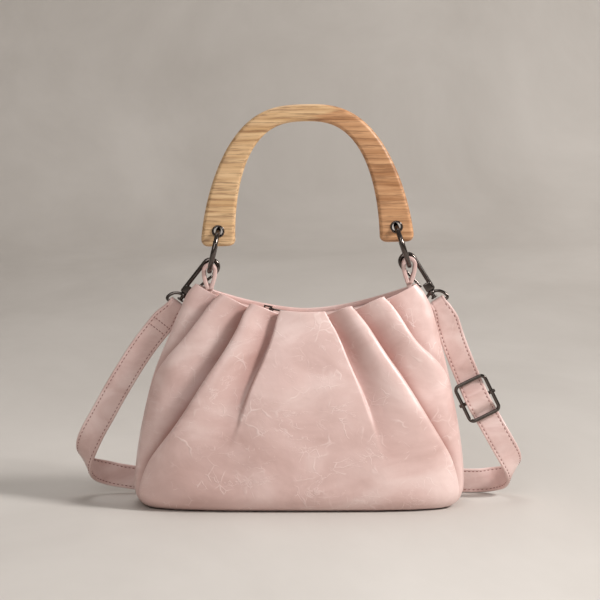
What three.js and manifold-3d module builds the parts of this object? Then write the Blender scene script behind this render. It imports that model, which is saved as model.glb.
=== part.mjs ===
// Pleated leather handbag with a curved wooden top handle and a crossbody strap.
// Millimetres, +Z up, front towards -Y, origin on the floor under the middle of the base.
import * as THREE from 'three';
import { mergeVertices } from 'three/addons/utils/BufferGeometryUtils.js';
import Module from 'manifold-3d';

// Bag body
const bodyHalfWidth = 120;
const bodyHalfDepth = 44.5;
const rimHeight = 140.8;          // rim height at the middle of the mouth
const cornerRise = 20;            // how far the rim climbs to the top corners
const leatherThickness = 2;
const seamGap = 0.3;              // gap kept between neighbouring pieces
const pleatDepth = 9;             // deepest pleat
const pleatStep = 2.6;            // width of the step beside a fold, at the rim
const baseThickness = 2.5;

// Top zip
const facingDrop = 3;             // how far the zip lies below the rim
const facingThickness = 1.4;
const facingGap = 0.7;            // from the inside of the wall to the facing
const zipWidth = 5.2;
const zipThickness = 2;
const sliderLength = 8.5;
const sliderWidth = 7;
const sliderX = -23;
const pullLength = 17;
const pullWidth = 4.6;

// Wooden handle
const handleWidth = 1.2883 * bodyHalfWidth;
const handleRise = 101;
const legWidth = 24.9;            // each leg at its end
const handleOpening = handleWidth - 2 * legWidth;
const archHeight = 12.3;          // of the wood at the top of the arch
const handleOpeningRise = handleRise - archHeight;
const handleThickness = 10;
const handleRounding = 3;
const legCornerRadius = 5;
const handleTurn = 1.45;          // degrees that the right leg stands above the left
const handleCentreX = 0.05 * bodyHalfWidth;

// Eyelets and rings
const eyeletInset = 12.8;         // from the outside of each leg
const eyeletSpacing = handleWidth - 2 * eyeletInset;
const eyeletAboveLegEnd = 11;
const eyeletHoleRadius = 3.25;
const eyeletFlangeRadius = 4.6;
const eyeletBarrelWall = 0.55;
const eyeletFlangeThickness = 0.6;
const ringRadius = 15.6;          // to the middle of the wire
const ringWire = 3.6;
const ringSink = 1.7;             // how far a leg end stands below a ring set on a corner
const handleEndHeight = rimHeight + cornerRise + 2 * ringRadius - ringSink;

// Leather loops
const loopStrip = 2.9;
const loopHoleWidth = 5.2;
const loopHoleHeight = 14.8;
const loopDepth = 10;
const loopTailWidth = 2.4;        // at its lower end
const loopTail = 6;                // sewn between the panels, below the hole

// Snap hooks and strap eyes
const hookWire = 3.3;
const hookSpan = 10.6;            // spine to tip, middle to middle
const hookReach = 26.6;           // foot of the spine to the centre of the bow
const hookTipLength = 3;
const hookY = 9;
const hookBlock = 6.4;
const postRadius = 1.4;
const postLength = 6;
const postAcross = 2.6;
const gateThickness = 2;
const gateDepth = 3;
const gatePivotAcross = 6.9;
const gatePivotAlong = 5.6;
const eyeWire = 2.3;
const eyeWidth = 19.6;
const eyeHeight = 9.6;            // post boss to the straight bar

// Strap and buckle
const strapWidth = 18;
const strapEndWidth = 12.6;        // where it passes through a strap eye
const strapThickness = 2.4;
const taperLength = 16;
const foldBackLength = 24;
const buckleWidth = 26.6;
const buckleLength = 31;
const buckleSide = 3;
const buckleBar = 2.6;
const buckleThickness = 3;
const buckleCornerRadius = 5;
const pinRadius = 1.3;
const pinGap = 0.25;
const pinCollar = { wall: 0.6, length: 3 };

// Where each side's hardware stands: the ring leans out from its eyelet by lean degrees,
// the hook leans by hookLean degrees, the loop's hole reaches loopSlack above the ring's
// wire, and its sewn tail is tailDepth deep.
const sides = [
  { name: 'left', sign: -1, ringLean: 12.5, hookLean: 38, loopSlack: 1.27, tailDepth: 5 },
  { name: 'right', sign: 1, ringLean: 18.5, hookLean: 32, loopSlack: 1.97, tailDepth: 3.2 },
];

// Body sections from the base seam up. level is a share of the rim's height, width and
// depth are shares of the half width and half depth, shift is a share of the half width,
// square is the exponent of the plan's oval.
const bodySections = [
  { level: 0.000, width: 0.905, depth: 0.74, shift: 0.000, square: 3.6 },
  { level: 0.012, width: 0.945, depth: 0.86, shift: 0.000, square: 3.6 },
  { level: 0.040, width: 0.980, depth: 0.95, shift: 0.000, square: 3.5 },
  { level: 0.090, width: 1.000, depth: 1.00, shift: 0.000, square: 3.4 },
  { level: 0.200, width: 0.992, depth: 1.00, shift: 0.003, square: 3.2 },
  { level: 0.340, width: 0.964, depth: 0.97, shift: 0.006, square: 3.0 },
  { level: 0.480, width: 0.925, depth: 0.91, shift: 0.009, square: 2.8 },
  { level: 0.615, width: 0.882, depth: 0.82, shift: 0.015, square: 2.5 },
  { level: 0.727, width: 0.836, depth: 0.72, shift: 0.026, square: 2.2 },
  { level: 0.888, width: 0.762, depth: 0.58, shift: 0.044, square: 1.85 },
  { level: 0.960, width: 0.717, depth: 0.52, shift: 0.042, square: 1.7 },
  { level: 1.000, width: 0.671, depth: 0.49, shift: 0.042, square: 1.65 },
];

// Fold lines of the front, left to right. at holds the place across the panel (share of
// its half width) at each of foldLevels, depth the pleat's share of pleatDepth there, and
// side says which way the fold's edge faces.
const foldLevels = [0, 0.2, 0.4, 0.6, 0.8, 1];
const folds = [
  { side: -1, at: [-0.992, -0.992, -0.992, -0.985, -0.865, -0.757], depth: [0, 0, 0, 0.05, 0.45, 0.5] },
  { side: -1, at: [-0.975, -0.9, -0.755, -0.64, -0.545, -0.484], depth: [0, 0.5, 0.85, 1, 0.9, 0.6] },
  { side: -1, at: [-0.45, -0.42, -0.38, -0.33, -0.265, -0.221], depth: [0, 0, 0.05, 0.3, 0.5, 0.45] },
  { side: 1, at: [0.52, 0.5, 0.45, 0.385, 0.28, 0.16], depth: [0, 0, 0.05, 0.3, 0.5, 0.45] },
  { side: 1, at: [0.975, 0.91, 0.8, 0.68, 0.534, 0.396], depth: [0, 0.5, 0.85, 1, 0.9, 0.6] },
  { side: 1, at: [0.992, 0.992, 0.992, 0.985, 0.795, 0.687], depth: [0, 0, 0, 0.05, 0.45, 0.5] },
];
const panelLevels = [0, 0.012, 0.04, 0.09, 0.16, 0.25, 0.35, 0.45, 0.55, 0.64, 0.72, 0.79, 0.86, 0.93, 0.965, 1];
const endColumns = 5;             // columns between the outer pleats and the side seams
const panelColumns = 3;           // columns between two pleats
const backColumns = 16;

// Route of the strap from the right strap eye down, along the floor behind the bag and up
// to the left one. across is a share of the bag's half width, low and up are shares of the
// rim's height, back is a share of the half depth. On the way down and up the strap stays
// at hookY: low is its lower edge, and wx, wz the direction of its upper edge.
const strapDown = [
  { across: 0.9517, low: 0.794, wx: 0.93, wz: 0.36 },
  { across: 1.0892, low: 0.5121, wx: 0.9, wz: 0.43 },
  { across: 1.1875, low: 0.3594, wx: 0.87, wz: 0.49 },
];
const strapFloor = [
  { across: 0.95, back: 0.9775 },
  { across: 0.7667, back: 1.0674 },
  { across: 0.4583, back: 1.1461 },
  { across: 0, back: 1.1573 },
  { across: -0.4583, back: 1.1461 },
  { across: -0.75, back: 1.0787 },
  { across: -0.9, back: 1.0112 },
];
const strapUp = [
  { across: -1.1967, low: 0.4304, wx: -0.87, wz: 0.49 },
  { across: -1.1033, low: 0.5682, wx: -0.83, wz: 0.55 },
  { across: -0.9525, low: 0.7692, wx: -0.81, wz: 0.58 },
];
const strapLift = 0.4;            // lower edge above the floor
const buckleRow = strapDown[1];

// Each bend is half a turn of a helix from the hanging run to the floor run: across and up
// are where it starts, advance is how far it goes along its leaning axis, as a share of the
// rim's height.
const strapBends = [
  { across: 1.2583, up: 0.2841, advance: 0.2415 },
  { across: -1.2667, up: 0.3551, advance: 0.2912 },
];
const bendRadius = 0.36 * bodyHalfDepth;
const bendLean = 26.7;
const bendSteps = 6;
const strapLead = 7;              // straight run in line with the strap eye
const strapStations = 150;

const wasm = await Module();
wasm.setup();

// Finishes
const leather = () => new THREE.MeshStandardMaterial({ color: 0xdcb9b4, roughness: 0.42, metalness: 0 });
const wood = () => new THREE.MeshStandardMaterial({ color: 0xcda36b, roughness: 0.5, metalness: 0 });
const gunmetal = () => new THREE.MeshStandardMaterial({ color: 0x3c3430, roughness: 0.25, metalness: 1 });

const group = new THREE.Group();

function addPiece(parent, name, geometry, material) {
  const mesh = new THREE.Mesh(geometry, material);
  mesh.name = name;
  parent.add(mesh);
  return mesh;
}

const radians = (degrees) => (degrees * Math.PI) / 180;
const smooth = (t) => t * t * (3 - 2 * t);
const clamp01 = (t) => Math.min(1, Math.max(0, t));

// Solids and booleans
function toManifold(geometry) {
  const bare = geometry.clone();
  bare.deleteAttribute('normal');
  bare.deleteAttribute('uv');
  const merged = mergeVertices(bare, 1e-4);
  return new wasm.Manifold(new wasm.Mesh({
    numProp: 3,
    vertProperties: new Float32Array(merged.attributes.position.array),
    triVerts: new Uint32Array(merged.index.array),
  }));
}

function fromManifold(solid) {
  const mesh = solid.getMesh();
  const geometry = new THREE.BufferGeometry();
  geometry.setAttribute('position', new THREE.BufferAttribute(new Float32Array(mesh.vertProperties), 3));
  geometry.setIndex(new THREE.BufferAttribute(new Uint32Array(mesh.triVerts), 1));
  return geometry;
}

function join(geometries) {
  return fromManifold(geometries.map(toManifold).reduce((whole, next) => whole.add(next)));
}

function cut(geometry, tools) {
  return fromManifold(tools.map(toManifold).reduce((rest, tool) => rest.subtract(tool), toManifold(geometry)));
}

function moved(geometry, x, y, z) {
  return geometry.translate(x, y, z);
}

// A closed solid between two equal grids of points, outside first.
function wallBetween(outside, inside) {
  const rows = outside.length;
  const columns = outside[0].length;
  const positions = [];
  for (const grid of [outside, inside]) {
    for (const row of grid) {
      for (const point of row) positions.push(point.x, point.y, point.z);
    }
  }
  const out = (r, c) => r * columns + c;
  const back = (r, c) => rows * columns + r * columns + c;
  const index = [];
  const quad = (a, b, c, d) => index.push(a, b, c, a, c, d);
  for (let r = 0; r < rows - 1; r += 1) {
    for (let c = 0; c < columns - 1; c += 1) {
      quad(out(r, c), out(r, c + 1), out(r + 1, c + 1), out(r + 1, c));
      quad(back(r, c), back(r + 1, c), back(r + 1, c + 1), back(r, c + 1));
    }
    quad(out(r, 0), out(r + 1, 0), back(r + 1, 0), back(r, 0));
    quad(out(r + 1, columns - 1), out(r, columns - 1), back(r, columns - 1), back(r + 1, columns - 1));
  }
  for (let c = 0; c < columns - 1; c += 1) {
    quad(out(0, c + 1), out(0, c), back(0, c), back(0, c + 1));
    quad(out(rows - 1, c), out(rows - 1, c + 1), back(rows - 1, c + 1), back(rows - 1, c));
  }
  return closedGeometry(positions, index);
}

function closedGeometry(positions, index) {
  const geometry = new THREE.BufferGeometry();
  geometry.setAttribute('position', new THREE.Float32BufferAttribute(positions, 3));
  geometry.setIndex(index);
  return geometry;
}

// Smooth reading of a table whose rows are sorted by the column named key.
function readTable(rows, key, column, value) {
  let i = 0;
  while (i < rows.length - 2 && rows[i + 1][key] < value) i += 1;
  const slope = (k) => {
    const low = rows[Math.max(0, k - 1)];
    const high = rows[Math.min(rows.length - 1, k + 1)];
    return (high[column] - low[column]) / (high[key] - low[key]);
  };
  const span = rows[i + 1][key] - rows[i][key];
  const t = clamp01((value - rows[i][key]) / span);
  const rise = rows[i + 1][column] - rows[i][column];
  const early = t * (1 - t) * (1 - t) * (slope(i) * span - rise);
  const late = t * t * (1 - t) * (rise - slope(i + 1) * span);
  return rows[i][column] + rise * t + early + late;
}

// Bag body: half ovals, one above the other. angle runs from -90 degrees at the left
// side seam through 0 at the middle to 90 at the right side seam.
function rimAt(across) {
  return rimHeight + cornerRise * Math.abs(across) ** 1.7;
}

function bodyPoint(level, angle, front) {
  const power = 2 / readTable(bodySections, 'level', 'square', level);
  const across = Math.sign(angle) * Math.abs(Math.sin(angle)) ** power;
  const width = bodyHalfWidth * readTable(bodySections, 'level', 'width', level);
  const depth = bodyHalfDepth * readTable(bodySections, 'level', 'depth', level);
  const shift = bodyHalfWidth * readTable(bodySections, 'level', 'shift', level);
  const y = seamGap / 2 + depth * Math.abs(Math.cos(angle)) ** power;
  return new THREE.Vector3(shift + width * across, front ? -y : y, level * rimAt(across));
}

// Outward direction of the plain body, from two short steps along it.
function bodyNormal(level, angle, front) {
  const small = 0.004;
  const upper = Math.min(1, level + small);
  const lower = Math.max(0, level - small);
  const a = Math.max(-Math.PI / 2, angle - small);
  const b = Math.min(Math.PI / 2, angle + small);
  const up = bodyPoint(upper, angle, front).sub(bodyPoint(lower, angle, front));
  const along = bodyPoint(level, b, front).sub(bodyPoint(level, a, front));
  const normal = along.cross(up).normalize();
  return front ? normal : normal.negate();
}

function angleAt(level, across) {
  const power = readTable(bodySections, 'level', 'square', level) / 2;
  return Math.sign(across) * Math.asin(Math.abs(across) ** power);
}

// One row of the front: where its columns stand and how far each stands proud. The valley
// beside a fold reaches at most halfway to the next fold, or to the side seam.
function pleatRow(level) {
  const stops = [{ angle: -Math.PI / 2, height: 0, columns: endColumns }];
  const read = (fold, column) => {
    const rows = foldLevels.map((at, i) => ({ at, value: fold[column][i] }));
    return readTable(rows, 'at', 'value', level);
  };
  const places = folds.map((fold) => read(fold, 'at'));
  const step = (pleatStep * (1 + 2 * (1 - level))) / bodyHalfWidth;
  folds.forEach((fold, i) => {
    const depth = pleatDepth * clamp01(read(fold, 'depth'));
    const next = folds[i + fold.side] ? places[i + fold.side] : fold.side;
    const room = Math.abs(next - places[i]) / 2;
    const edge = { angle: angleAt(level, places[i]), height: depth / 2 };
    const valley = { angle: angleAt(level, places[i] + fold.side * Math.min(step, room)), height: -depth / 2 };
    const pair = fold.side < 0 ? [valley, edge] : [edge, valley];
    stops.push({ ...pair[0], columns: 1 }, { ...pair[1], columns: panelColumns });
  });
  stops[stops.length - 1].columns = endColumns;
  stops.push({ angle: Math.PI / 2, height: 0 });
  const row = [];
  for (let i = 0; i < stops.length - 1; i += 1) {
    for (let k = 0; k < stops[i].columns; k += 1) {
      const t = k / stops[i].columns;
      row.push({
        angle: THREE.MathUtils.lerp(stops[i].angle, stops[i + 1].angle, t),
        height: THREE.MathUtils.lerp(stops[i].height, stops[i + 1].height, smooth(t)),
      });
    }
  }
  row.push(stops[stops.length - 1]);
  return row;
}

// Outside and inside point of the wall; the lowest edge is cut square with the base.
function wallPoints(level, angle, height, front) {
  const normal = bodyNormal(level, angle, front);
  const outside = bodyPoint(level, angle, front).addScaledVector(normal, height);
  const inward = level === 0 ? new THREE.Vector3(0, 0, 1) : normal.negate();
  const inside = outside.clone().addScaledVector(inward, leatherThickness);
  return { outside, inside };
}

function plainRow() {
  const row = [];
  for (let c = 0; c <= backColumns; c += 1) {
    row.push({ angle: THREE.MathUtils.lerp(-Math.PI / 2, Math.PI / 2, c / backColumns), height: 0 });
  }
  return row;
}

function panelGrid(front) {
  const grid = panelLevels.map((level) => {
    const row = front ? pleatRow(level) : plainRow();
    return row.map((stop) => wallPoints(level, stop.angle, stop.height, front));
  });
  const outside = grid.map((row) => row.map((pair) => pair.outside));
  const inside = grid.map((row) => row.map((pair) => pair.inside));
  if (!front) {
    outside.forEach((row) => row.reverse());
    inside.forEach((row) => row.reverse());
  }
  return { outside, inside };
}

const frontGrid = panelGrid(true);
const backGrid = panelGrid(false);
const frontAngles = pleatRow(1).map((stop) => stop.angle);
addPiece(group, 'front_panel', wallBetween(frontGrid.outside, frontGrid.inside), leather());
addPiece(group, 'back_panel', wallBetween(backGrid.outside, backGrid.inside), leather());

// Base panel: the outline of both lower edges, drawn in by the seam gap.
function basePanel() {
  const outline = [...frontGrid.outside[0], ...backGrid.outside[0]];
  const shape = new THREE.Shape(outline.map((point) => {
    const length = Math.hypot(point.x, point.y);
    const share = 1 - (1.6 * seamGap) / length;
    return new THREE.Vector2(point.x * share, point.y * share);
  }));
  return new THREE.ExtrudeGeometry(shape, { depth: baseThickness, bevelEnabled: false });
}
addPiece(group, 'base_panel', basePanel(), leather());

// Corners: each ring hangs from its eyelet, and the leather loop stands round its wire.
const flat = (x, z) => new THREE.Vector3(x, 0, z);
const handlePivot = flat(handleCentreX, handleEndHeight + eyeletAboveLegEnd);
const eyeletRun = flat(Math.cos(radians(handleTurn)), Math.sin(radians(handleTurn)));
const ringTopOffset = eyeletHoleRadius - ringWire / 2 - seamGap;
const corners = sides.map((side) => {
  const lean = radians(side.ringLean);
  const eyeletPlace = handlePivot.clone().addScaledVector(eyeletRun, (side.sign * eyeletSpacing) / 2);
  const ringDown = flat(side.sign * Math.sin(lean), -Math.cos(lean));
  const ringCentre = eyeletPlace.clone().addScaledVector(ringDown, ringRadius - ringTopOffset);
  const loopX = ringCentre.x + ringDown.x * ringRadius;
  const loopTop = ringCentre.z + ringDown.z * ringRadius + ringWire / 2 + side.loopSlack;
  return { side, ringDown, ringCentre, loopX, loopTop };
});

// Top zip: a facing along each rim and the chain between them.
const rimShift = bodyHalfWidth * bodySections[bodySections.length - 1].shift;
const rimHalf = bodyHalfWidth * bodySections[bodySections.length - 1].width;
const zipEnds = corners.map((corner) => corner.loopX - corner.side.sign * (loopStrip + seamGap));
const rimAcross = (x) => (x - rimShift) / rimHalf;
const zipTop = (x) => rimAt(rimAcross(x)) - facingDrop;

// Where the inside of a panel lies at the height of the zip, moved in by a seam gap.
function wallAtZip(grid, column, front) {
  const rows = grid.inside.map((row) => row[column]);
  let r = rows.length - 2;
  while (r > 0 && rows[r].z > zipTop(rows[r].x)) r -= 1;
  const above = rows[r + 1].z - zipTop(rows[r + 1].x);
  const below = rows[r].z - zipTop(rows[r].x);
  const point = rows[r].clone().lerp(rows[r + 1], below / (below - above));
  const inward = bodyNormal(1, front ? frontAngles[column] : 0, front).setZ(0).normalize().negate();
  return point.addScaledVector(inward, facingGap);
}

// Where a line of points sorted by x passes a given x.
function crossing(line, x) {
  const next = line.findIndex((point, i) => i > 0 && point.x >= x);
  const low = line[next - 1];
  const high = line[next];
  return low.clone().lerp(high, (x - low.x) / (high.x - low.x));
}

function facing(front) {
  const side = front ? -1 : 1;
  const grid = front ? frontGrid : backGrid;
  const line = grid.inside[0].map((_, column) => wallAtZip(grid, column, front));
  if (!front) line.reverse();
  const outer = line.filter((point) => point.x > zipEnds[0] && point.x < zipEnds[1]);
  outer.unshift(crossing(line, zipEnds[0]));
  outer.push(crossing(line, zipEnds[1]));
  outer.forEach((point) => point.setZ(zipTop(point.x)));
  const inner = outer.map((point) => new THREE.Vector3(point.x, side * (zipWidth / 2 + seamGap), point.z));
  const top = front ? [outer, inner] : [inner, outer];
  const bottom = top.map((line) => line.map((point) => point.clone().setZ(point.z - facingThickness)));
  return wallBetween(top, bottom);
}
addPiece(group, 'zip_facing_front', facing(true), leather());
addPiece(group, 'zip_facing_back', facing(false), leather());

function zipChain() {
  const steps = 24;
  const left = [];
  const right = [];
  for (let i = 0; i <= steps; i += 1) {
    const x = THREE.MathUtils.lerp(zipEnds[0], zipEnds[1], i / steps);
    left.push(new THREE.Vector3(x, -zipWidth / 2, zipTop(x)));
    right.push(new THREE.Vector3(x, zipWidth / 2, zipTop(x)));
  }
  const top = [left, right];
  const bottom = top.map((line) => line.map((point) => point.clone().setZ(point.z - zipThickness)));
  return wallBetween(top, bottom);
}
addPiece(group, 'zip_chain', zipChain(), gunmetal());

// Zip slider with its bridge, and the pull whose cross bar turns in the bridge's window.
const sliderPlate = 1.3;
const bridgeThickness = 1.1;
const bridgeWidth = 1.8;
const bridgeWindow = { length: 4, height: 1.7 };
const pullThickness = 1;
const pullSlot = { length: 3, width: bridgeWidth + 2 * seamGap };
const pullPivot = { x: bridgeWindow.length / 2 - 0.9, z: sliderPlate + 0.8 };

function zipSlider() {
  const plate = new THREE.BoxGeometry(sliderLength, sliderWidth, sliderPlate);
  moved(plate, 0, 0, sliderPlate / 2);
  const height = bridgeWindow.height + bridgeThickness;
  const bridge = new THREE.BoxGeometry(bridgeWindow.length + 2 * bridgeThickness, bridgeWidth, height);
  moved(bridge, 0, 0, sliderPlate + height / 2 - 0.05);
  const opening = new THREE.BoxGeometry(bridgeWindow.length, bridgeWidth * 2, bridgeWindow.height);
  moved(opening, 0, 0, sliderPlate + bridgeWindow.height / 2);
  return cut(join([plate, bridge]), [opening]);
}

// The pull lies along +x from its pivot at x = 0.
function zipPull() {
  const outline = new THREE.Shape();
  const half = pullWidth / 2;
  const bar = pullThickness / 2;
  outline.moveTo(-bar, -half);
  outline.lineTo(pullLength - half, -half);
  outline.absarc(pullLength - half, 0, half, -Math.PI / 2, Math.PI / 2, false);
  outline.lineTo(-bar, half);
  outline.closePath();
  const slot = new THREE.Path();
  slot.moveTo(bar, pullSlot.width / 2);
  slot.lineTo(bar + pullSlot.length, pullSlot.width / 2);
  slot.lineTo(bar + pullSlot.length, -pullSlot.width / 2);
  slot.lineTo(bar, -pullSlot.width / 2);
  slot.closePath();
  outline.holes.push(slot);
  const solid = new THREE.ExtrudeGeometry(outline, { depth: pullThickness, bevelEnabled: false, curveSegments: 6 });
  return moved(solid, 0, 0, -bar);
}

const sliderGroup = new THREE.Group();
sliderGroup.position.set(sliderX, 0, zipTop(sliderX) + seamGap);
sliderGroup.rotation.y = Math.atan2(zipTop(sliderX - 2) - zipTop(sliderX + 2), 4);
addPiece(sliderGroup, 'zip_slider', zipSlider(), gunmetal());
addPiece(sliderGroup, 'zip_pull', zipPull(), gunmetal()).position.set(pullPivot.x, 0, pullPivot.z);
group.add(sliderGroup);

// Wooden handle: an arch between two ovals, with level ends. Its own frame has the ends
// of the legs at z = 0.
const outerArch = { across: 2.8, up: 1.5 };     // exponents of the outer superellipse
const innerArch = { across: 2.7, up: 2.2 };

function archPoint(halfWidth, rise, power, angle) {
  const x = halfWidth * Math.sign(Math.cos(angle)) * Math.abs(Math.cos(angle)) ** (2 / power.across);
  return new THREE.Vector2(x, rise * Math.abs(Math.sin(angle)) ** (2 / power.up));
}

function woodHandle() {
  const steps = 30;
  const start = Math.asin(((legCornerRadius * 1.5) / handleRise) ** (outerArch.up / 2));   // above the leg corners
  const sweep = (k) => THREE.MathUtils.lerp(start, Math.PI - start, k / steps);
  const outline = new THREE.Shape();
  const outerHalf = handleWidth / 2;
  const innerHalf = handleOpening / 2;
  outline.moveTo(outerHalf - legCornerRadius, 0);
  outline.absarc(outerHalf - legCornerRadius, legCornerRadius, legCornerRadius, -Math.PI / 2, 0, false);
  for (let k = 0; k <= steps; k += 1) {
    const point = archPoint(outerHalf, handleRise, outerArch, sweep(k));
    outline.lineTo(point.x, point.y);
  }
  outline.absarc(legCornerRadius - outerHalf, legCornerRadius, legCornerRadius, Math.PI, Math.PI * 1.5, false);
  outline.absarc(-innerHalf - legCornerRadius, legCornerRadius, legCornerRadius, Math.PI * 1.5, 2 * Math.PI, false);
  for (let k = steps; k >= 0; k -= 1) {
    const point = archPoint(innerHalf, handleOpeningRise, innerArch, sweep(k));
    outline.lineTo(point.x, point.y);
  }
  outline.absarc(innerHalf + legCornerRadius, legCornerRadius, legCornerRadius, Math.PI, Math.PI * 1.5, false);
  outline.closePath();
  const body = new THREE.ExtrudeGeometry(outline, {
    depth: handleThickness - 2 * handleRounding,
    bevelThickness: handleRounding,
    bevelSize: handleRounding,
    bevelOffset: -handleRounding,
    bevelSegments: 3,
    curveSegments: 4,
  });
  body.rotateX(Math.PI / 2);
  moved(body, 0, handleThickness / 2 - handleRounding, 0);
  const bores = [-1, 1].map((sign) => {
    const bore = new THREE.CylinderGeometry(woodBoreRadius, woodBoreRadius, handleThickness * 2, 20);
    return moved(bore, (sign * eyeletSpacing) / 2, 0, eyeletAboveLegEnd);
  });
  return cut(body, bores);
}

// Eyelet: a barrel with a flange on each face of the wood, closed profile round its axis.
const woodBoreRadius = eyeletHoleRadius + eyeletBarrelWall + seamGap / 2;

function eyelet() {
  const face = handleThickness / 2 + seamGap / 2;
  const top = face + eyeletFlangeThickness;
  const profile = [
    [eyeletHoleRadius, -top], [eyeletFlangeRadius, -top], [eyeletFlangeRadius, -face],
    [eyeletHoleRadius + eyeletBarrelWall, -face], [eyeletHoleRadius + eyeletBarrelWall, face],
    [eyeletFlangeRadius, face], [eyeletFlangeRadius, top], [eyeletHoleRadius, top],
    [eyeletHoleRadius, -top],
  ].map(([r, y]) => new THREE.Vector2(r, y));
  return new THREE.LatheGeometry(profile, 16);
}

const handleGroup = new THREE.Group();
handleGroup.position.copy(handlePivot);
handleGroup.rotation.y = -radians(handleTurn);
const handleMesh = addPiece(handleGroup, 'wood_handle', woodHandle(), wood());
handleMesh.position.z = -eyeletAboveLegEnd;
for (const side of sides) {
  const piece = addPiece(handleGroup, `eyelet_${side.name}`, eyelet(), gunmetal());
  piece.position.x = (side.sign * eyeletSpacing) / 2;
}
group.add(handleGroup);

// Rings, leather loops, snap hooks and strap eyes, one set at each top corner.
function leatherLoop(tailDepth) {
  const outer = loopHoleWidth / 2 + loopStrip;
  const inner = loopHoleWidth / 2;
  const arcHeight = loopHoleHeight - inner;
  const outline = new THREE.Shape();
  outline.moveTo(loopTailWidth / 2, -loopTail);
  outline.lineTo(loopStrip, -loopStrip * 0.4);
  outline.bezierCurveTo(loopStrip * 1.3, arcHeight * 0.3, outer, arcHeight * 0.5, outer, arcHeight);
  outline.absarc(0, arcHeight, outer, 0, Math.PI, false);
  outline.bezierCurveTo(-outer, arcHeight * 0.5, -loopStrip * 1.3, arcHeight * 0.3, -loopStrip, -loopStrip * 0.4);
  outline.lineTo(-loopTailWidth / 2, -loopTail);
  outline.closePath();
  const hole = new THREE.Path();
  hole.moveTo(0, 0);
  hole.bezierCurveTo(-loopStrip * 0.4, arcHeight * 0.3, -inner, arcHeight * 0.5, -inner, arcHeight);
  hole.absarc(0, arcHeight, inner, Math.PI, 0, true);
  hole.bezierCurveTo(inner, arcHeight * 0.5, loopStrip * 0.4, arcHeight * 0.3, 0, 0);
  outline.holes.push(hole);
  const solid = new THREE.ExtrudeGeometry(outline, { depth: loopDepth, bevelEnabled: false, curveSegments: 8 });
  solid.rotateX(Math.PI / 2);
  moved(solid, 0, loopDepth / 2, 0);
  const trims = [-1, 1].map((sign) => {
    const trim = new THREE.BoxGeometry(4 * loopStrip, loopDepth, 2 * loopTail);
    return moved(trim, 0, (sign * (tailDepth + loopDepth)) / 2, loopStrip * 0.45 - loopTail);
  });
  return cut(solid, trims);
}

function roundBar(points, wire, sidesOfWire, steps) {
  const path = new THREE.CurvePath();
  points.forEach((curve) => path.add(curve));
  const section = new THREE.Shape();
  for (let i = 0; i < sidesOfWire; i += 1) {
    const angle = (i / sidesOfWire) * Math.PI * 2;
    const corner = [(Math.cos(angle) * wire) / 2, (Math.sin(angle) * wire) / 2];
    if (i === 0) section.moveTo(...corner);
    else section.lineTo(...corner);
  }
  section.closePath();
  return new THREE.ExtrudeGeometry(section, { steps, bevelEnabled: false, extrudePath: path });
}

class Arc3 extends THREE.Curve {
  constructor(cx, cz, radius, from, to) {
    super();
    Object.assign(this, { cx, cz, radius, from, to });
  }

  getPoint(t, target = new THREE.Vector3()) {
    const angle = this.from + (this.to - this.from) * t;
    return target.set(this.cx + this.radius * Math.cos(angle), 0, this.cz + this.radius * Math.sin(angle));
  }
}

// Hook in its own frame: x across towards the bag, z along, spine on x = 0.
function hookBody() {
  const bow = roundBar([
    new THREE.LineCurve3(flat(0, 0.5), flat(0, hookReach)),
    new Arc3(hookSpan / 2, hookReach, hookSpan / 2, Math.PI, 0),
    new THREE.LineCurve3(flat(hookSpan, hookReach), flat(hookSpan, hookReach - hookTipLength)),
  ], hookWire, 8, 30);
  const block = new THREE.BoxGeometry(hookBlock, hookWire * 1.3, hookBlock);
  moved(block, hookBlock / 2 - 1, 0, hookBlock / 2 - 0.4);
  const post = new THREE.CylinderGeometry(postRadius, postRadius, postLength, 12);
  post.rotateX(Math.PI / 2);
  moved(post, postAcross, 0, -postLength / 2);
  const head = new THREE.CylinderGeometry(postRadius * 1.8, postRadius * 1.8, 1.4, 12);
  head.rotateX(Math.PI / 2);
  moved(head, postAcross, 0, -postLength);
  return join([bow, block, post, head]);
}

const gateTip = { across: hookSpan - 0.3, along: hookReach - hookTipLength - seamGap - gateThickness * 0.5 };

function hookGate() {
  const across = gateTip.across - gatePivotAcross;
  const along = gateTip.along - gatePivotAlong;
  const length = Math.hypot(across, along);
  const half = gateThickness / 2;
  const outline = new THREE.Shape();
  outline.moveTo(half, 0);
  outline.lineTo(half, length);
  outline.absarc(0, length, half, 0, Math.PI, false);
  outline.lineTo(-half, 0);
  outline.absarc(0, 0, half, Math.PI, 2 * Math.PI, false);
  const bar = new THREE.ExtrudeGeometry(outline, { depth: gateDepth, bevelEnabled: false, curveSegments: 5 });
  bar.rotateX(Math.PI / 2);
  moved(bar, 0, gateDepth / 2, 0);
  return bar.rotateY(Math.atan2(across, along));
}

// Strap eye: a D of wire whose boss turns on the hook's post; its bar is at -eyeHeight.
const bossHeight = 2.6;
const bossAlong = -(seamGap + 0.4 + bossHeight / 2);

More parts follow.
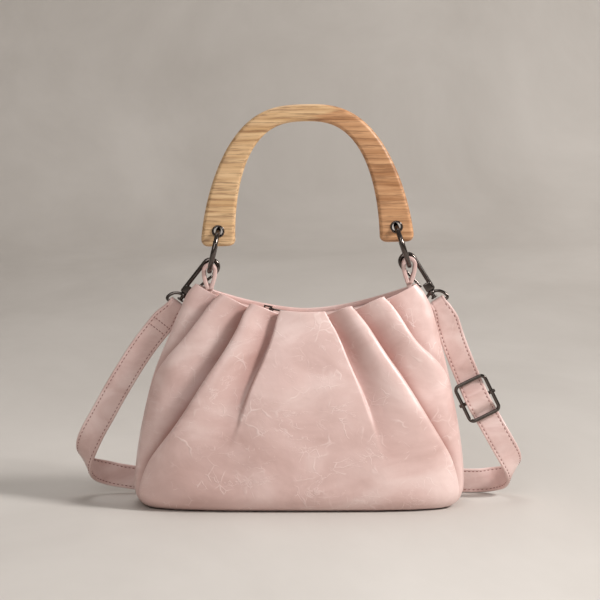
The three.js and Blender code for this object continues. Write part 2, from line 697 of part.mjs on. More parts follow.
function strapEye() {
  const reach = (eyeWidth - eyeWire) / 2;
  const drop = eyeHeight - reach;
  const bossRadius = postRadius + seamGap + 1.2;
  const arc = roundBar([new Arc3(0, -reach, reach, Math.PI, 0)], eyeWire, 8, 14);
  const legs = [-1, 1].map((sign) => {
    const leg = new THREE.CylinderGeometry(eyeWire / 2, eyeWire / 2, drop + eyeWire / 2, 8);
    leg.rotateX(Math.PI / 2);
    return moved(leg, sign * reach, 0, -reach - (drop + eyeWire / 2) / 2 + 0.05);
  });
  const bar = new THREE.CylinderGeometry(eyeWire / 2, eyeWire / 2, 2 * reach, 10);
  bar.rotateZ(Math.PI / 2);
  moved(bar, 0, 0, -eyeHeight);
  const boss = new THREE.CylinderGeometry(bossRadius, bossRadius, bossHeight, 14);
  boss.rotateX(Math.PI / 2);
  const bore = new THREE.CylinderGeometry(postRadius + seamGap, postRadius + seamGap, eyeHeight, 14);
  bore.rotateX(Math.PI / 2);
  return cut(join([arc, ...legs, bar, boss]), [bore]);
}

const strapBars = [];
for (const { side, ringDown, ringCentre, loopX, loopTop } of corners) {
  const ring = addPiece(group, `ring_${side.name}`, new THREE.TorusGeometry(ringRadius, ringWire / 2, 10, 26), gunmetal());
  ring.rotation.set(0, Math.PI / 2 - side.sign * radians(side.ringLean), 0);
  ring.position.copy(ringCentre);

  const loop = addPiece(group, `loop_${side.name}`, leatherLoop(side.tailDepth), leather());
  loop.position.set(loopX, 0, loopTop - loopHoleHeight);

  // The bow hangs on the ring's wire behind the loop.
  const innerReach = ringRadius - ringWire / 2 - hookWire / 2 - seamGap;
  const bowDepth = Math.sqrt(innerReach ** 2 - hookY ** 2);
  const bowCentre = ringCentre.clone().addScaledVector(ringDown, bowDepth + hookSpan / 2).setY(hookY);
  const lean = new THREE.Group();
  lean.position.copy(bowCentre);
  lean.rotation.y = -side.sign * radians(side.hookLean);
  const hook = new THREE.Group();
  hook.rotation.z = side.sign > 0 ? Math.PI : 0;
  lean.add(hook);
  group.add(lean);
  const frame = new THREE.Group();
  frame.position.set(-hookSpan / 2, 0, -hookReach);
  hook.add(frame);
  addPiece(frame, `hook_${side.name}`, hookBody(), gunmetal());
  const gate = addPiece(frame, `gate_${side.name}`, hookGate(), gunmetal());
  gate.position.set(gatePivotAcross, 0, gatePivotAlong);
  const eye = addPiece(frame, `strap_eye_${side.name}`, strapEye(), gunmetal());
  eye.position.set(postAcross, 0, bossAlong);
  group.updateMatrixWorld(true);
  const outward = new THREE.Vector3(-1, 0, 0).transformDirection(eye.matrixWorld);
  const place = eye.localToWorld(flat(0, -eyeHeight));
  strapBars.push({ place, lead: eye.localToWorld(flat(0, -eyeHeight - strapLead)), outward });
}

function hangingRow(row) {
  const edge = new THREE.Vector3(row.wx, 0, row.wz).normalize();
  const middle = rimHeight * row.low + (edge.z * strapWidth) / 2;
  return { point: new THREE.Vector3(bodyHalfWidth * row.across, hookY, middle), edge };
}

function floorRow(row) {
  const middle = strapLift + strapWidth / 2;
  const point = new THREE.Vector3(bodyHalfWidth * row.across, bodyHalfDepth * row.back, middle);
  return { point, edge: new THREE.Vector3(0, 0, 1) };
}

// A bend's rows from its hanging end to its floor end.
function bendRows(bend) {
  const sign = Math.sign(bend.across);
  const start = new THREE.Vector3(bodyHalfWidth * bend.across, hookY + bendRadius, rimHeight * bend.up);
  const advance = rimHeight * bend.advance;
  const lean = radians(bendLean);
  const axis = new THREE.Vector3(-sign * Math.sin(lean), 0, -Math.cos(lean));
  const away = new THREE.Vector3(sign * Math.cos(lean), 0, -Math.sin(lean));
  const rows = [];
  for (let i = 0; i <= bendSteps; i += 1) {
    const turn = (i / bendSteps) * Math.PI;
    const point = start.clone();
    point.y -= bendRadius * Math.cos(turn);
    point.addScaledVector(away, bendRadius * Math.sin(turn));
    point.addScaledVector(axis, (advance * turn) / Math.PI);
    const run = away.clone().multiplyScalar(bendRadius * Math.cos(turn)).setY(bendRadius * Math.sin(turn));
    run.addScaledVector(axis, advance / Math.PI);
    const outside = away.clone().multiplyScalar(Math.sin(turn)).setY(-Math.cos(turn));
    rows.push({ point, edge: run.cross(outside).multiplyScalar(-sign).normalize() });
  }
  return rows;
}

// Strap: a flat ribbon round both bars. Stations hold its middle, run and outer edge.
function strapGeometry() {
  const [leftBar, rightBar] = strapBars;
  const rows = [
    { point: rightBar.place, edge: rightBar.outward },
    { point: rightBar.lead, edge: rightBar.outward },
    ...strapDown.map(hangingRow),
    ...bendRows(strapBends[0]),
    ...strapFloor.map(floorRow),
    ...bendRows(strapBends[1]).reverse(),
    ...strapUp.map(hangingRow),
    { point: leftBar.lead, edge: leftBar.outward },
    { point: leftBar.place, edge: leftBar.outward },
  ];
  const middle = new THREE.CatmullRomCurve3(rows.map((row) => row.point), false, 'centripetal');
  middle.arcLengthDivisions = 800;
  const length = middle.getLength();
  const stationAt = (u) => {
    const t = middle.getUtoTmapping(u);
    const run = middle.getTangent(t).normalize();
    const outward = edgeAt(rows, t, run);
    const face = run.clone().cross(outward).normalize();
    return { point: middle.getPoint(t), run, outward, face, s: u * length };
  };
  return { length, stationAt };
}

// Direction of the strap's edge at a share t of the rows, square to its run.
function edgeAt(rows, t, run) {
  const place = t * (rows.length - 1);
  const low = Math.min(rows.length - 2, Math.floor(place));
  const blend = rows[low].edge.clone().lerp(rows[low + 1].edge, place - low);
  return blend.addScaledVector(run, -blend.dot(run)).normalize();
}

const strapPath = strapGeometry();
function nearestArc(target) {
  let best = 0;
  let least = Infinity;
  for (let i = 0; i <= 400; i += 1) {
    const gap = strapPath.stationAt(i / 400).point.distanceTo(target);
    if (gap < least) {
      least = gap;
      best = (i / 400) * strapPath.length;
    }
  }
  return best;
}
const buckleArc = nearestArc(hangingRow(buckleRow).point);
const buckleStation = strapPath.stationAt(buckleArc / strapPath.length);

const layer = strapThickness / 2 + seamGap;
const wrapRadius = eyeWire / 2 + layer;
const behindBar = -(buckleThickness / 2 + layer);
const overPin = pinRadius + layer;
const barArc = buckleLength / 2 - buckleBar / 2;

// How far the strap stands off its middle line: level over the pin, then behind the bars.
function weave(s) {
  const from = Math.abs(s - buckleArc);
  const level = pinRadius + strapThickness;
  if (from < barArc) {
    const t = clamp01((from - level) / (barArc - level - buckleBar));
    return THREE.MathUtils.lerp(overPin, behindBar, smooth(t));
  }
  return THREE.MathUtils.lerp(behindBar, 0, smooth(clamp01((from - barArc - buckleBar) / barArc)));
}

function outerLayer(s) {
  const nearRight = 1 - smooth(clamp01(s / (2 * taperLength)));
  const nearLeft = 1 - smooth(clamp01((strapPath.length - s) / (2 * taperLength)));
  return weave(s) + wrapRadius * (nearRight + nearLeft);
}

function strapWidthAt(s) {
  const fromEnd = Math.min(s, strapPath.length - s);
  return THREE.MathUtils.lerp(strapEndWidth, strapWidth, smooth(clamp01(fromEnd / taperLength)));
}

// Back layer between the right eye and the pin, clear of the outer layer all the way.
function backLayer(s) {
  const free = Math.min(-wrapRadius, outerLayer(s) - strapThickness - 2 * seamGap);
  const toPin = smooth(clamp01((buckleArc - s) / barArc));
  return THREE.MathUtils.lerp(-(pinRadius + layer), free, toPin);
}

// The four corners of the strap round a centre.
function section(centre, run, outward, width) {
  const face = run.clone().cross(outward).normalize();
  const half = strapThickness / 2;
  const corner = (w, f) => centre.clone().addScaledVector(outward, (w * width) / 2).addScaledVector(face, f * half);
  return [corner(-1, -1), corner(1, -1), corner(1, 1), corner(-1, 1)];
}

function strapSections() {
  const sections = [];
  const add = (s, offsetAt, backwards) => {
    const here = strapPath.stationAt(clamp01(s / strapPath.length));
    const step = 0.5;
    const ahead = Math.min(strapPath.length, s + step);
    const behind = Math.max(0, s - step);
    const place = (at) => {
      const station = strapPath.stationAt(at / strapPath.length);
      return station.point.clone().addScaledVector(station.face, offsetAt(at));
    };
    const run = place(ahead).sub(place(behind)).normalize();
    if (backwards) run.negate();
    const outward = here.outward.clone().addScaledVector(run, -here.outward.dot(run)).normalize();
    sections.push(section(place(s), run, outward, strapWidthAt(s)));
  };
  const wrap = (s, from) => {
    const here = strapPath.stationAt(s / strapPath.length);
    const turns = 6;
    for (let i = 1; i < turns; i += 1) {
      const angle = (i / turns) * Math.PI;
      const side = from * Math.cos(angle);
      const out = s === 0 ? -Math.sin(angle) : Math.sin(angle);
      const centre = here.point.clone().addScaledVector(here.face, wrapRadius * side)
        .addScaledVector(here.run, wrapRadius * out);
      const radial = centre.clone().sub(here.point).normalize();
      const run = here.outward.clone().cross(radial).normalize();
      if (from < 0) run.copy(radial.clone().cross(here.outward).normalize().negate());
      sections.push(section(centre, run, here.outward, strapEndWidth));
    }
  };
  const backSteps = 26;
  for (let i = 0; i <= backSteps; i += 1) add(buckleArc * (1 - i / backSteps), backLayer, true);
  wrap(0, -1);
  for (let i = 0; i <= strapStations; i += 1) {
    const u = i / strapStations;
    add(u * strapPath.length, outerLayer, false);
  }
  wrap(strapPath.length, 1);
  const foldSteps = 5;
  for (let i = 0; i <= foldSteps; i += 1) {
    add(strapPath.length - (foldBackLength * i) / foldSteps, foldBack, true);
  }
  return sections;
}

function foldBack(s) {
  const rest = smooth(clamp01((strapPath.length - s) / (2 * taperLength)));
  return outerLayer(s) - THREE.MathUtils.lerp(2 * wrapRadius, strapThickness + 2 * seamGap, rest);
}

function ribbonFrom(sections) {
  const positions = [];
  sections.forEach((ring) => ring.forEach((point) => positions.push(point.x, point.y, point.z)));
  const index = [];
  for (let i = 0; i < sections.length - 1; i += 1) {
    for (let k = 0; k < 4; k += 1) {
      const a = i * 4 + k;
      const b = i * 4 + ((k + 1) % 4);
      index.push(a, b, b + 4, a, b + 4, a + 4);
    }
  }
  const last = (sections.length - 1) * 4;
  index.push(0, 2, 1, 0, 3, 2, last, last + 1, last + 2, last, last + 2, last + 3);
  return closedGeometry(positions, index);
}
addPiece(group, 'strap', ribbonFrom(strapSections()), leather());

// Buckle: a rounded frame in the plane of the strap and a pin hooked round its sides.
function roundedOutline(target, width, length, radius, clockwise) {
  const x = width / 2 - radius;
  const y = length / 2 - radius;
  const corners = [[x, y, 0], [-x, y, 0.5], [-x, -y, 1], [x, -y, 1.5]];
  if (clockwise) corners.reverse();
  corners.forEach(([cx, cy, turn], i) => {
    const from = turn * Math.PI + (clockwise ? Math.PI / 2 : 0);
    const to = turn * Math.PI + (clockwise ? 0 : Math.PI / 2);
    if (i === 0) target.moveTo(cx + radius * Math.cos(from), cy + radius * Math.sin(from));
    target.absarc(cx, cy, radius, from, to, clockwise);
  });
  target.closePath();
  return target;
}

function buckleFrame() {
  const outline = roundedOutline(new THREE.Shape(), buckleWidth, buckleLength, buckleCornerRadius, false);
  const inner = [buckleWidth - 2 * buckleSide, buckleLength - 2 * buckleBar, buckleCornerRadius - buckleBar];
  outline.holes.push(roundedOutline(new THREE.Path(), ...inner, true));
  const bevel = 0.7;
  const solid = new THREE.ExtrudeGeometry(outline, {
    depth: buckleThickness - 2 * bevel,
    bevelThickness: bevel,
    bevelSize: bevel,
    bevelOffset: -bevel,
    bevelSegments: 1,
    curveSegments: 4,
  });
  return moved(solid, 0, 0, bevel - buckleThickness / 2);
}

// The pin's ends are closed round the sides of the frame.
function bucklePin() {
  const sideMiddle = buckleWidth / 2 - buckleSide / 2;
  const room = [buckleSide + 2 * pinGap, pinCollar.length * 2, buckleThickness + 2 * pinGap];
  const outer = [room[0] + 2 * pinCollar.wall, pinCollar.length, room[2] + 2 * pinCollar.wall];
  const reach = sideMiddle - outer[0] / 2 + pinCollar.wall / 2;
  const bar = new THREE.CylinderGeometry(pinRadius, pinRadius, 2 * reach, 10);
  bar.rotateZ(Math.PI / 2);
  const collars = [-1, 1].map((sign) => {
    const collar = moved(new THREE.BoxGeometry(...outer), sign * sideMiddle, 0, 0);
    return cut(collar, [moved(new THREE.BoxGeometry(...room), sign * sideMiddle, 0, 0)]);
  });
  return join([bar, ...collars]);
}

const buckleGroup = new THREE.Group();
buckleGroup.position.copy(buckleStation.point);
buckleGroup.quaternion.setFromRotationMatrix(new THREE.Matrix4().makeBasis(
  buckleStation.outward,
  buckleStation.run.clone().negate(),
  buckleStation.outward.clone().cross(buckleStation.run.clone().negate()),
));
addPiece(buckleGroup, 'buckle_frame', buckleFrame(), gunmetal());
addPiece(buckleGroup, 'buckle_pin', bucklePin(), gunmetal());
group.add(buckleGroup);

export default group;
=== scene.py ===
import math
import bpy
import numpy as np
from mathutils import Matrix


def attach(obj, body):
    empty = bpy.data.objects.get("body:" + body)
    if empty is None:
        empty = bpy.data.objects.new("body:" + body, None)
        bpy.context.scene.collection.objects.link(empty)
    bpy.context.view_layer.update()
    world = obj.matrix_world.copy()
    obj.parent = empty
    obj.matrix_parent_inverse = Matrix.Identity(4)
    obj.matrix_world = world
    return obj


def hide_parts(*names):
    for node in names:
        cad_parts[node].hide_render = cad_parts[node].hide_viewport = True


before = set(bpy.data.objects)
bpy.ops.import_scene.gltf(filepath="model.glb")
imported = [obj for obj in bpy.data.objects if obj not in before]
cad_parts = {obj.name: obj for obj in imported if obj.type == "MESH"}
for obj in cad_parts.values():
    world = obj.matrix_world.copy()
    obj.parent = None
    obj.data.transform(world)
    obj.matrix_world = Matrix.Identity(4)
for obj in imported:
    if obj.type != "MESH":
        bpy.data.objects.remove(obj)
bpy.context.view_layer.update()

# Shapes are worked out in millimetres and written to the meshes in metres.
# The frame is +Z up, the front towards -Y, the origin on the floor under the base.
millimetre = 0.001


# Mesh tools

def unit(vectors):
    return vectors / np.linalg.norm(vectors, axis=-1, keepdims=True)


def xyz(*values):
    return np.array(values, float)


def smooth(t):
    t = np.clip(t, 0, 1)
    return t * t * (3 - 2 * t)


# A power that keeps the sign, for superellipses and rounded blocks.
def bent(values, power):
    return np.sign(values) * np.abs(values) ** power


# Angles of a full turn, without the last one, which is the first again.
def around(steps):
    return np.linspace(0, 2 * math.pi, steps, endpoint=False)


# Quads of a grid of rows by columns; a closed direction joins its last line to its first.
def gridFaces(rows, columns, closeRows=False, closeColumns=False, first=0):
    r = np.arange(rows if closeRows else rows - 1)[:, None]
    c = np.arange(columns if closeColumns else columns - 1)[None, :]
    nextR, nextC = (r + 1) % rows, (c + 1) % columns
    corners = [r * columns + c, r * columns + nextC, nextR * columns + nextC, nextR * columns + c]
    return np.stack([np.broadcast_to(corner, (r.size, c.size)) for corner in corners], -1).reshape(-1, 4) + first


# A shape is its points and a list of face arrays; joined puts several into one mesh.
def joined(shapes):
    points, faces, first = [], [], 0
    for shapePoints, parts in shapes:
        points.append(shapePoints)
        for part in parts:
            faces += (part + first).tolist()
        first += len(shapePoints)
    return np.concatenate(points), faces


# Tube grid with both ends closed by a fan to the middle of the last ring.
def closedTube(grid):
    rows, columns = grid.shape[:2]
    points = np.concatenate([grid.reshape(-1, 3), grid[0].mean(0)[None], grid[-1].mean(0)[None]])
    ring = np.arange(columns)
    after = (ring + 1) % columns
    start = np.stack([after, ring, np.full(columns, rows * columns)], -1)
    last = (rows - 1) * columns
    end = np.stack([last + ring, last + after, np.full(columns, rows * columns + 1)], -1)
    return points, [gridFaces(rows, columns, closeColumns=True), start, end]


def closedRing(grid):
    rows, columns = grid.shape[:2]
    return grid.reshape(-1, 3), [gridFaces(rows, columns, True, True)]


# Copies of a closed shape at many places, each turned by its axes.
def repeated(grid, places, axes=np.eye(3)):
    points, faces = closedTube(grid)
    steps = np.arange(len(places))[:, None, None] * len(points)
    copies = points @ axes + places[:, None]
    return copies.reshape(-1, 3), [(part + steps).reshape(-1, part.shape[1]) for part in faces]


# A leather wall: an outside and an inside grid joined all round their borders.
def wall(outside, inside):
    rows, columns = outside.shape[:2]
    count = rows * columns
    ids = np.arange(count).reshape(rows, columns)
    border = np.concatenate([ids[0, :-1], ids[:-1, -1], ids[-1, :0:-1], ids[:0:-1, 0]])
    after = np.roll(border, -1)
    rim = np.stack([after, border, border + count, after + count], -1)
    inner = gridFaces(rows, columns, first=count)[:, ::-1]
    return np.concatenate([outside.reshape(-1, 3), inside.reshape(-1, 3)]), [gridFaces(rows, columns), inner, rim]


# Puts shapes into a finished object that rides on a body and stands for CAD nodes.
def makePiece(name, shapes, material, body, nodes=(), sharp=None):
    points, faces = joined(shapes)
    mesh = bpy.data.meshes.new(name)
    mesh.from_pydata((points * millimetre).tolist(), [], faces)
    mesh.validate()
    mesh.update()
    mesh.shade_smooth()
    if sharp:
        mesh.set_sharp_from_angle(angle=math.radians(sharp))
    piece = bpy.data.objects.new(name, mesh)
    bpy.context.scene.collection.objects.link(piece)
    mesh.materials.append(material)
    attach(piece, body)
    if nodes:
        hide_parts(*nodes)
    return piece


# Outline of a rounded rectangle, halfA by halfB with corner radius r, as two arrays whose
# last axis goes round it; the sizes may differ along the rows.
def roundedSection(halfA, halfB, radius, perCorner=6):
    halfA, halfB, radius = (np.atleast_1d(np.asarray(v, float))[:, None] for v in (halfA, halfB, radius))
    turn = np.linspace(0, math.pi / 2, perCorner)
    angle = np.concatenate([turn + k * math.pi / 2 for k in range(4)])
    signA = np.repeat([1, -1, -1, 1], perCorner)
    signB = np.repeat([1, 1, -1, -1], perCorner)
    a = signA * (halfA - radius) + radius * np.cos(angle)
    b = signB * (halfB - radius) + radius * np.sin(angle)
    return a, b


# Carries a rounded section along a flat path: halfA lies in the path's plane, halfB across
# it. Returns points as (along x, across y, along z) of the path's own frame.
def sweepFlat(path, halfA, halfB, radius, closed=False, domes=True, side=None, perCorner=6):
    path = np.asarray(path, float)
    sizes = [np.broadcast_to(np.asarray(v, float), (len(path),)) for v in (halfA, halfB, radius)]
    if side is None:
        run = np.roll(path, -1, 0) - np.roll(path, 1, 0) if closed else np.gradient(path, axis=0)
        side = unit(run)[:, ::-1] * [1, -1]
    if domes and not closed:   # rows that shrink towards each end along a quarter circle
        turn = np.linspace(0, math.pi / 2, 6)[1:, None]
        for end, direction in ((0, -1), (-1, 1)):
            reach = np.sin(turn) * min(sizes[0][end], sizes[1][end]) * direction
            rows = [path[end] + side[end, ::-1] * [-1, 1] * reach, np.repeat(side[end][None], len(turn), 0)]
            rows += [size[end] * (np.cos(turn[:, 0]) * 0.98 + 0.02) for size in sizes]
            path, side, *sizes = [np.concatenate((old, new) if end else (new[::-1], old))
                                  for new, old in zip(rows, [path, side, *sizes])]
    a, b = roundedSection(*sizes, perCorner)
    return np.stack([path[:, :1] + side[:, :1] * a, b, path[:, 1:] + side[:, 1:] * a], -1)


# Turns a profile of (radius, height) round the local y axis.
def lathe(profile, steps=40):
    radius, height = np.asarray(profile, float).T
    angle = around(steps)[:, None]
    return np.stack([radius * np.cos(angle), height + 0 * angle, radius * np.sin(angle)], -1)


# Rounded block: a superellipsoid with the given half sizes.
def block(half, power=0.28, rows=14, columns=28):
    up = np.linspace(-math.pi / 2, math.pi / 2, rows)[1:-1, None]
    turn, level = around(columns), bent(np.cos(up), power)
    x, y = level * bent(np.cos(turn), power), level * bent(np.sin(turn), power)
    return np.stack([x, y, bent(np.sin(up), power) + 0 * turn], -1) * half


def arc(cx, cz, radius, start, end, steps):
    angle = np.linspace(start, end, steps)
    return np.stack([cx + radius * np.cos(angle), cz + radius * np.sin(angle)], -1)


# Smooth reading of a table of values at sorted keys.
def readTable(keys, values, at):
    keys, values = np.asarray(keys, float), np.asarray(values, float)
    i = np.clip(np.searchsorted(keys, at, side="left") - 1, 0, len(keys) - 2)
    low, high = np.maximum(np.arange(len(keys)) - 1, 0), np.minimum(np.arange(len(keys)) + 1, len(keys) - 1)
    slope = (values[high] - values[low]) / (keys[high] - keys[low])
    span = keys[i + 1] - keys[i]
    t = np.clip((at - keys[i]) / span, 0, 1)
    rise = values[i + 1] - values[i]
    early = t * (1 - t) ** 2 * (slope[i] * span - rise)
    late = t * t * (1 - t) * (rise - slope[i + 1] * span)
    return values[i] + rise * t + early + late


# Finishes: a short form for nodes, then one function for each finish

# Fills a node's inputs, given by name or number, from sockets, numbers or colours.
def fillInputs(tree, node, values):
    for key, value in values.items():
        socket = node.inputs[key]
        if hasattr(value, "is_output"):
            tree.links.new(value, socket)
        else:
            socket.default_value = (*value, 1) if socket.type == "RGBA" else value


# Adds a node; a name that the node has itself is a property, any other is an input, with _
# for a space.
def addNode(tree, kind, inputs=(), **values):
    node = tree.nodes.new("ShaderNode" + kind)
    inputs = dict(inputs)
    for key, value in values.items():
        if hasattr(node, key):
            setattr(node, key, value)
        else:
            inputs[key.replace("_", " ")] = value
    fillInputs(tree, node, inputs)
    return node


def newMaterial(name):
    material = bpy.data.materials.new(name)
    material.use_nodes = True
    tree = material.node_tree
    return material, tree, tree.nodes["Principled BSDF"]


def ramp(tree, source, stops):
    node = addNode(tree, "ValToRGB", Fac=source)
    while len(node.color_ramp.elements) < len(stops):
        node.color_ramp.elements.new(0.5)
    for element, (place, colour) in zip(node.color_ramp.elements, stops):
        element.position = place
        element.color = (*((colour,) * 3 if np.isscalar(colour) else colour), 1)
    return node.outputs["Color"]


def mapped(tree, scale=(1, 1, 1), turn=(0, 0, 0)):
    place = addNode(tree, "TexCoord").outputs["Object"]
    return addNode(tree, "Mapping", Vector=place, Scale=scale, Rotation=turn).outputs["Vector"]


def noise(tree, vector, scale, detail=3.0, rough=0.5, warp=0.0):
    node = addNode(tree, "TexNoise", Vector=vector, Scale=scale, Detail=detail, Roughness=rough, Distortion=warp)
    return node.outputs["Fac"]


def mixColour(tree, factor, first, second):
    return addNode(tree, "Mix", {0: factor, 6: first, 7: second}, data_type="RGBA").outputs[2]


def arithmetic(tree, operation, first, second):
    return addNode(tree, "Math", {0: first, 1: second}, operation=operation).outputs[0]


def times(tree, first, second):
    return arithmetic(tree, "MULTIPLY", first, second)


# Relief of a height pattern, on top of another relief where one is given.
def bump(tree, height, distance, under=None, strength=0.5):
    below = {"Normal": under} if under else {}
    return addNode(tree, "Bump", below, Height=height, Distance=distance, Strength=strength).outputs[0]


# The shadow colour is painted shade: the fold attribute mixes the pleat valleys towards it.
leatherLook = {
    "light": (0.82, 0.635, 0.60), "mid": (0.72, 0.515, 0.48), "deep": (0.60, 0.40, 0.365),
    "vein": (0.93, 0.78, 0.75), "shadow": (0.31, 0.115, 0.09), "roughness": 0.38, "coat": 0.25,
    "coatRoughness": 0.3, "patchScale": 15.0, "veinScale": 46.0, "veinWidth": 0.035, "grainScale": 1500.0,
    "wispScale": 26.0, "veinBump": 0.00022, "softBump": 0.0011, "grainBump": 0.00005,
    "warpScale": 28.0, "warp": 0.035,
}


# Satin crinkled leather: patches of lighter and deeper pink, thin broken veins along the
# edges of warped cells, pale wisps on the level lines of a stretched noise, soft dents and
# a fine grain. The fold attribute paints shade into the pleats: it mixes the colour towards
# the dark shadow tone in the valleys.
def leatherMaterial(name, look, veins=1.0, shade=1.0):
    material, tree, shader = newMaterial(name)
    place = mapped(tree)
    warp = addNode(tree, "TexNoise", Vector=place, Scale=look["warpScale"], Detail=3.0).outputs["Color"]
    shift = addNode(tree, "VectorMath", {0: warp}, operation="SCALE", Scale=look["warp"]).outputs[0]
    moved = addNode(tree, "VectorMath", {0: place, 1: shift}, operation="ADD").outputs[0]

    def creases(finer, wider, where):   # cell edges, broken off outside some places
        cells = addNode(tree, "TexVoronoi", Vector=moved, feature="DISTANCE_TO_EDGE", Scale=look["veinScale"] * finer)
        line = ramp(tree, cells.outputs["Distance"], [(0, 1), (look["veinWidth"] * wider, 0)])
        return times(tree, line, where)

    coarse = creases(1, 1, ramp(tree, noise(tree, place, 52.0, 2.0), [(0.53, 0), (0.66, 1)]))
    fine = creases(2.3, 1.3, ramp(tree, noise(tree, place, 70.0, 2.0, warp=0.6), [(0.55, 0), (0.66, 1)]))
    wisps = noise(tree, mapped(tree, (0.8, 1, 2.0), (0, 0.35, 0)), look["wispScale"], 6.0, 0.62, 1.2)
    wispPlace = ramp(tree, noise(tree, place, 30.0, 2.0), [(0.48, 0), (0.62, 1)])
    wisps = times(tree, ramp(tree, wisps, [(0.488, 0), (0.5, 0.8), (0.512, 0)]), wispPlace)
    vein = arithmetic(tree, "MAXIMUM", arithmetic(tree, "MAXIMUM", coarse, fine), wisps)
    vein = times(tree, vein, veins)
    patches = noise(tree, mapped(tree, (1, 1, 1.7)), look["patchScale"], 4.0, 0.55, 0.8)
    tones = [[c * shade for c in look[key]] for key in ("deep", "mid", "light")]
    base = ramp(tree, patches, list(zip((0.30, 0.5, 0.68), tones)))
    colour = mixColour(tree, times(tree, vein, 0.5), base, look["vein"])
    # Painted shade: the fold attribute says how far the colour goes towards the shadow tone in the pleat valleys.
    fold = addNode(tree, "Attribute", attribute_name="fold").outputs["Fac"]
    soft = bump(tree, noise(tree, moved, 48.0), look["softBump"])
    ridge = bump(tree, vein, look["veinBump"], soft)
    rough = look["roughness"]
    fillInputs(tree, shader, {
        "Base Color": mixColour(tree, fold, colour, look["shadow"]),
        "Roughness": ramp(tree, noise(tree, place, 60.0), [(0.3, rough - 0.05), (0.7, rough + 0.08)]),
        "Normal": bump(tree, noise(tree, place, look["grainScale"], 2.0), look["grainBump"], ridge),
        "Coat Weight": look["coat"], "Coat Roughness": look["coatRoughness"],
    })
    return material


woodLook = {
    "pale": (0.76, 0.53, 0.30), "mid": (0.60, 0.37, 0.175), "brown": (0.40, 0.185, 0.075), "warm": (0.66, 0.37, 0.19),
    "line": (0.22, 0.10, 0.04), "roughness": 0.45, "bump": 0.00014, "coat": 0.12, "coatRoughness": 0.3,
    "edgeX": 0.016,       # where the pale wood gives way to the brown, near the arch's top
    "streak": 0.075,      # how far streaks of one run into the other
}


# Wood with its grain along x: stretched noise for the bands, finer stretched noise for the
# dark pores, and a streaky change from pale wood on the left to redder wood on the right.
def woodMaterial(name, look):
    material, tree, shader = newMaterial(name)
    bands = noise(tree, mapped(tree, (5, 45, 120)), 1.0, 6.0, 0.6, 0.5)
    pores = noise(tree, mapped(tree, (26, 380, 620)), 1.0, 4.0, 0.7)
    rings = addNode(tree, "TexWave", Vector=mapped(tree, (1.4, 8, 40)), wave_type="BANDS", bands_direction="Z",
                    Scale=1.6, Distortion=5.0, Detail=4.0, Detail_Scale=1.5).outputs["Fac"]
    where = addNode(tree, "SeparateXYZ", {0: mapped(tree)}).outputs["X"]
    streak = times(tree, noise(tree, mapped(tree, (6, 60, 170)), 1.0, 4.0, 0.6), look["streak"])
    side = arithmetic(tree, "SUBTRACT", arithmetic(tree, "ADD", where, streak), look["edgeX"] + look["streak"] / 2)
    side = ramp(tree, arithmetic(tree, "ADD", times(tree, side, 45.0), 0.5), [(0.3, 0), (0.7, 1)])
    light = ramp(tree, bands, [(0.32, look["mid"]), (0.5, look["pale"]), (0.66, look["mid"])])
    dark = ramp(tree, bands, [(0.34, look["brown"]), (0.5, look["warm"]), (0.64, look["brown"])])
    base = mixColour(tree, times(tree, rings, 0.25), mixColour(tree, side, light, dark), look["brown"])
    poreMask = ramp(tree, pores, [(0.49, 0), (0.59, 1)])
    rough = look["roughness"]
    fillInputs(tree, shader, {
        "Base Color": mixColour(tree, times(tree, poreMask, 0.6), base, look["line"]),
        "Roughness": ramp(tree, bands, [(0.2, rough - 0.06), (0.8, rough + 0.1)]),
        "Normal": bump(tree, pores, look["bump"]),
        "Coat Weight": look["coat"], "Coat Roughness": look["coatRoughness"],
    })
    return material


# Dark plated metal with faint clouding and fine handling marks.
def metalMaterial(name, colour, roughness):
    material, tree, shader = newMaterial(name)
    clouds = noise(tree, mapped(tree), 160.0)
    marks = noise(tree, mapped(tree, (1, 1, 6)), 900.0, 2.0)
    fillInputs(tree, shader, {
        "Base Color": mixColour(tree, clouds, [c * 0.75 for c in colour], [c * 1.3 for c in colour]),
        "Roughness": ramp(tree, marks, [(0.3, roughness - 0.06), (0.75, roughness + 0.09)]),
        "Normal": bump(tree, marks, 0.00004, strength=0.15), "Metallic": 1.0,
    })
    return material


# Thread: twisted strands as fine slanted bands.
def threadMaterial(name, colour):
    material, tree, shader = newMaterial(name)
    twist = addNode(tree, "TexWave", Vector=mapped(tree, turn=(0.6, 0.4, 0.5)), Scale=900.0, Distortion=1.0)
    colour = mixColour(tree, twist.outputs["Fac"], [c * 0.8 for c in colour], colour)
    fillInputs(tree, shader, {"Base Color": colour, "Roughness": 0.7})
    return material


bagLeather = leatherMaterial("bag_leather", leatherLook)
strapLeather = leatherMaterial("strap_leather_finish", {**leatherLook, "patchScale": 26.0, "softBump": 0.0006},
                               veins=0.35, shade=0.95)
tapeCloth = threadMaterial("zip_tape", (0.62, 0.42, 0.385))
threadPink = threadMaterial("thread_pink", (0.36, 0.175, 0.155))
handleWood = woodMaterial("handle_wood", woodLook)
gunmetal = metalMaterial("gunmetal_finish", (0.105, 0.09, 0.083), 0.17)
zipMetal = metalMaterial("zip_teeth", (0.20, 0.17, 0.15), 0.3)
print("finishes ready")


def leatherPiece(name, shapes, node, material=bagLeather):
    return makePiece(name, shapes, material, "bag", [node])


def metalPiece(name, shapes, node, body="bag", sharp=None):
    return makePiece(name, shapes, gunmetal, body, [node], sharp)


# Bag body: half ovals one above the other; the front has six knife pleats

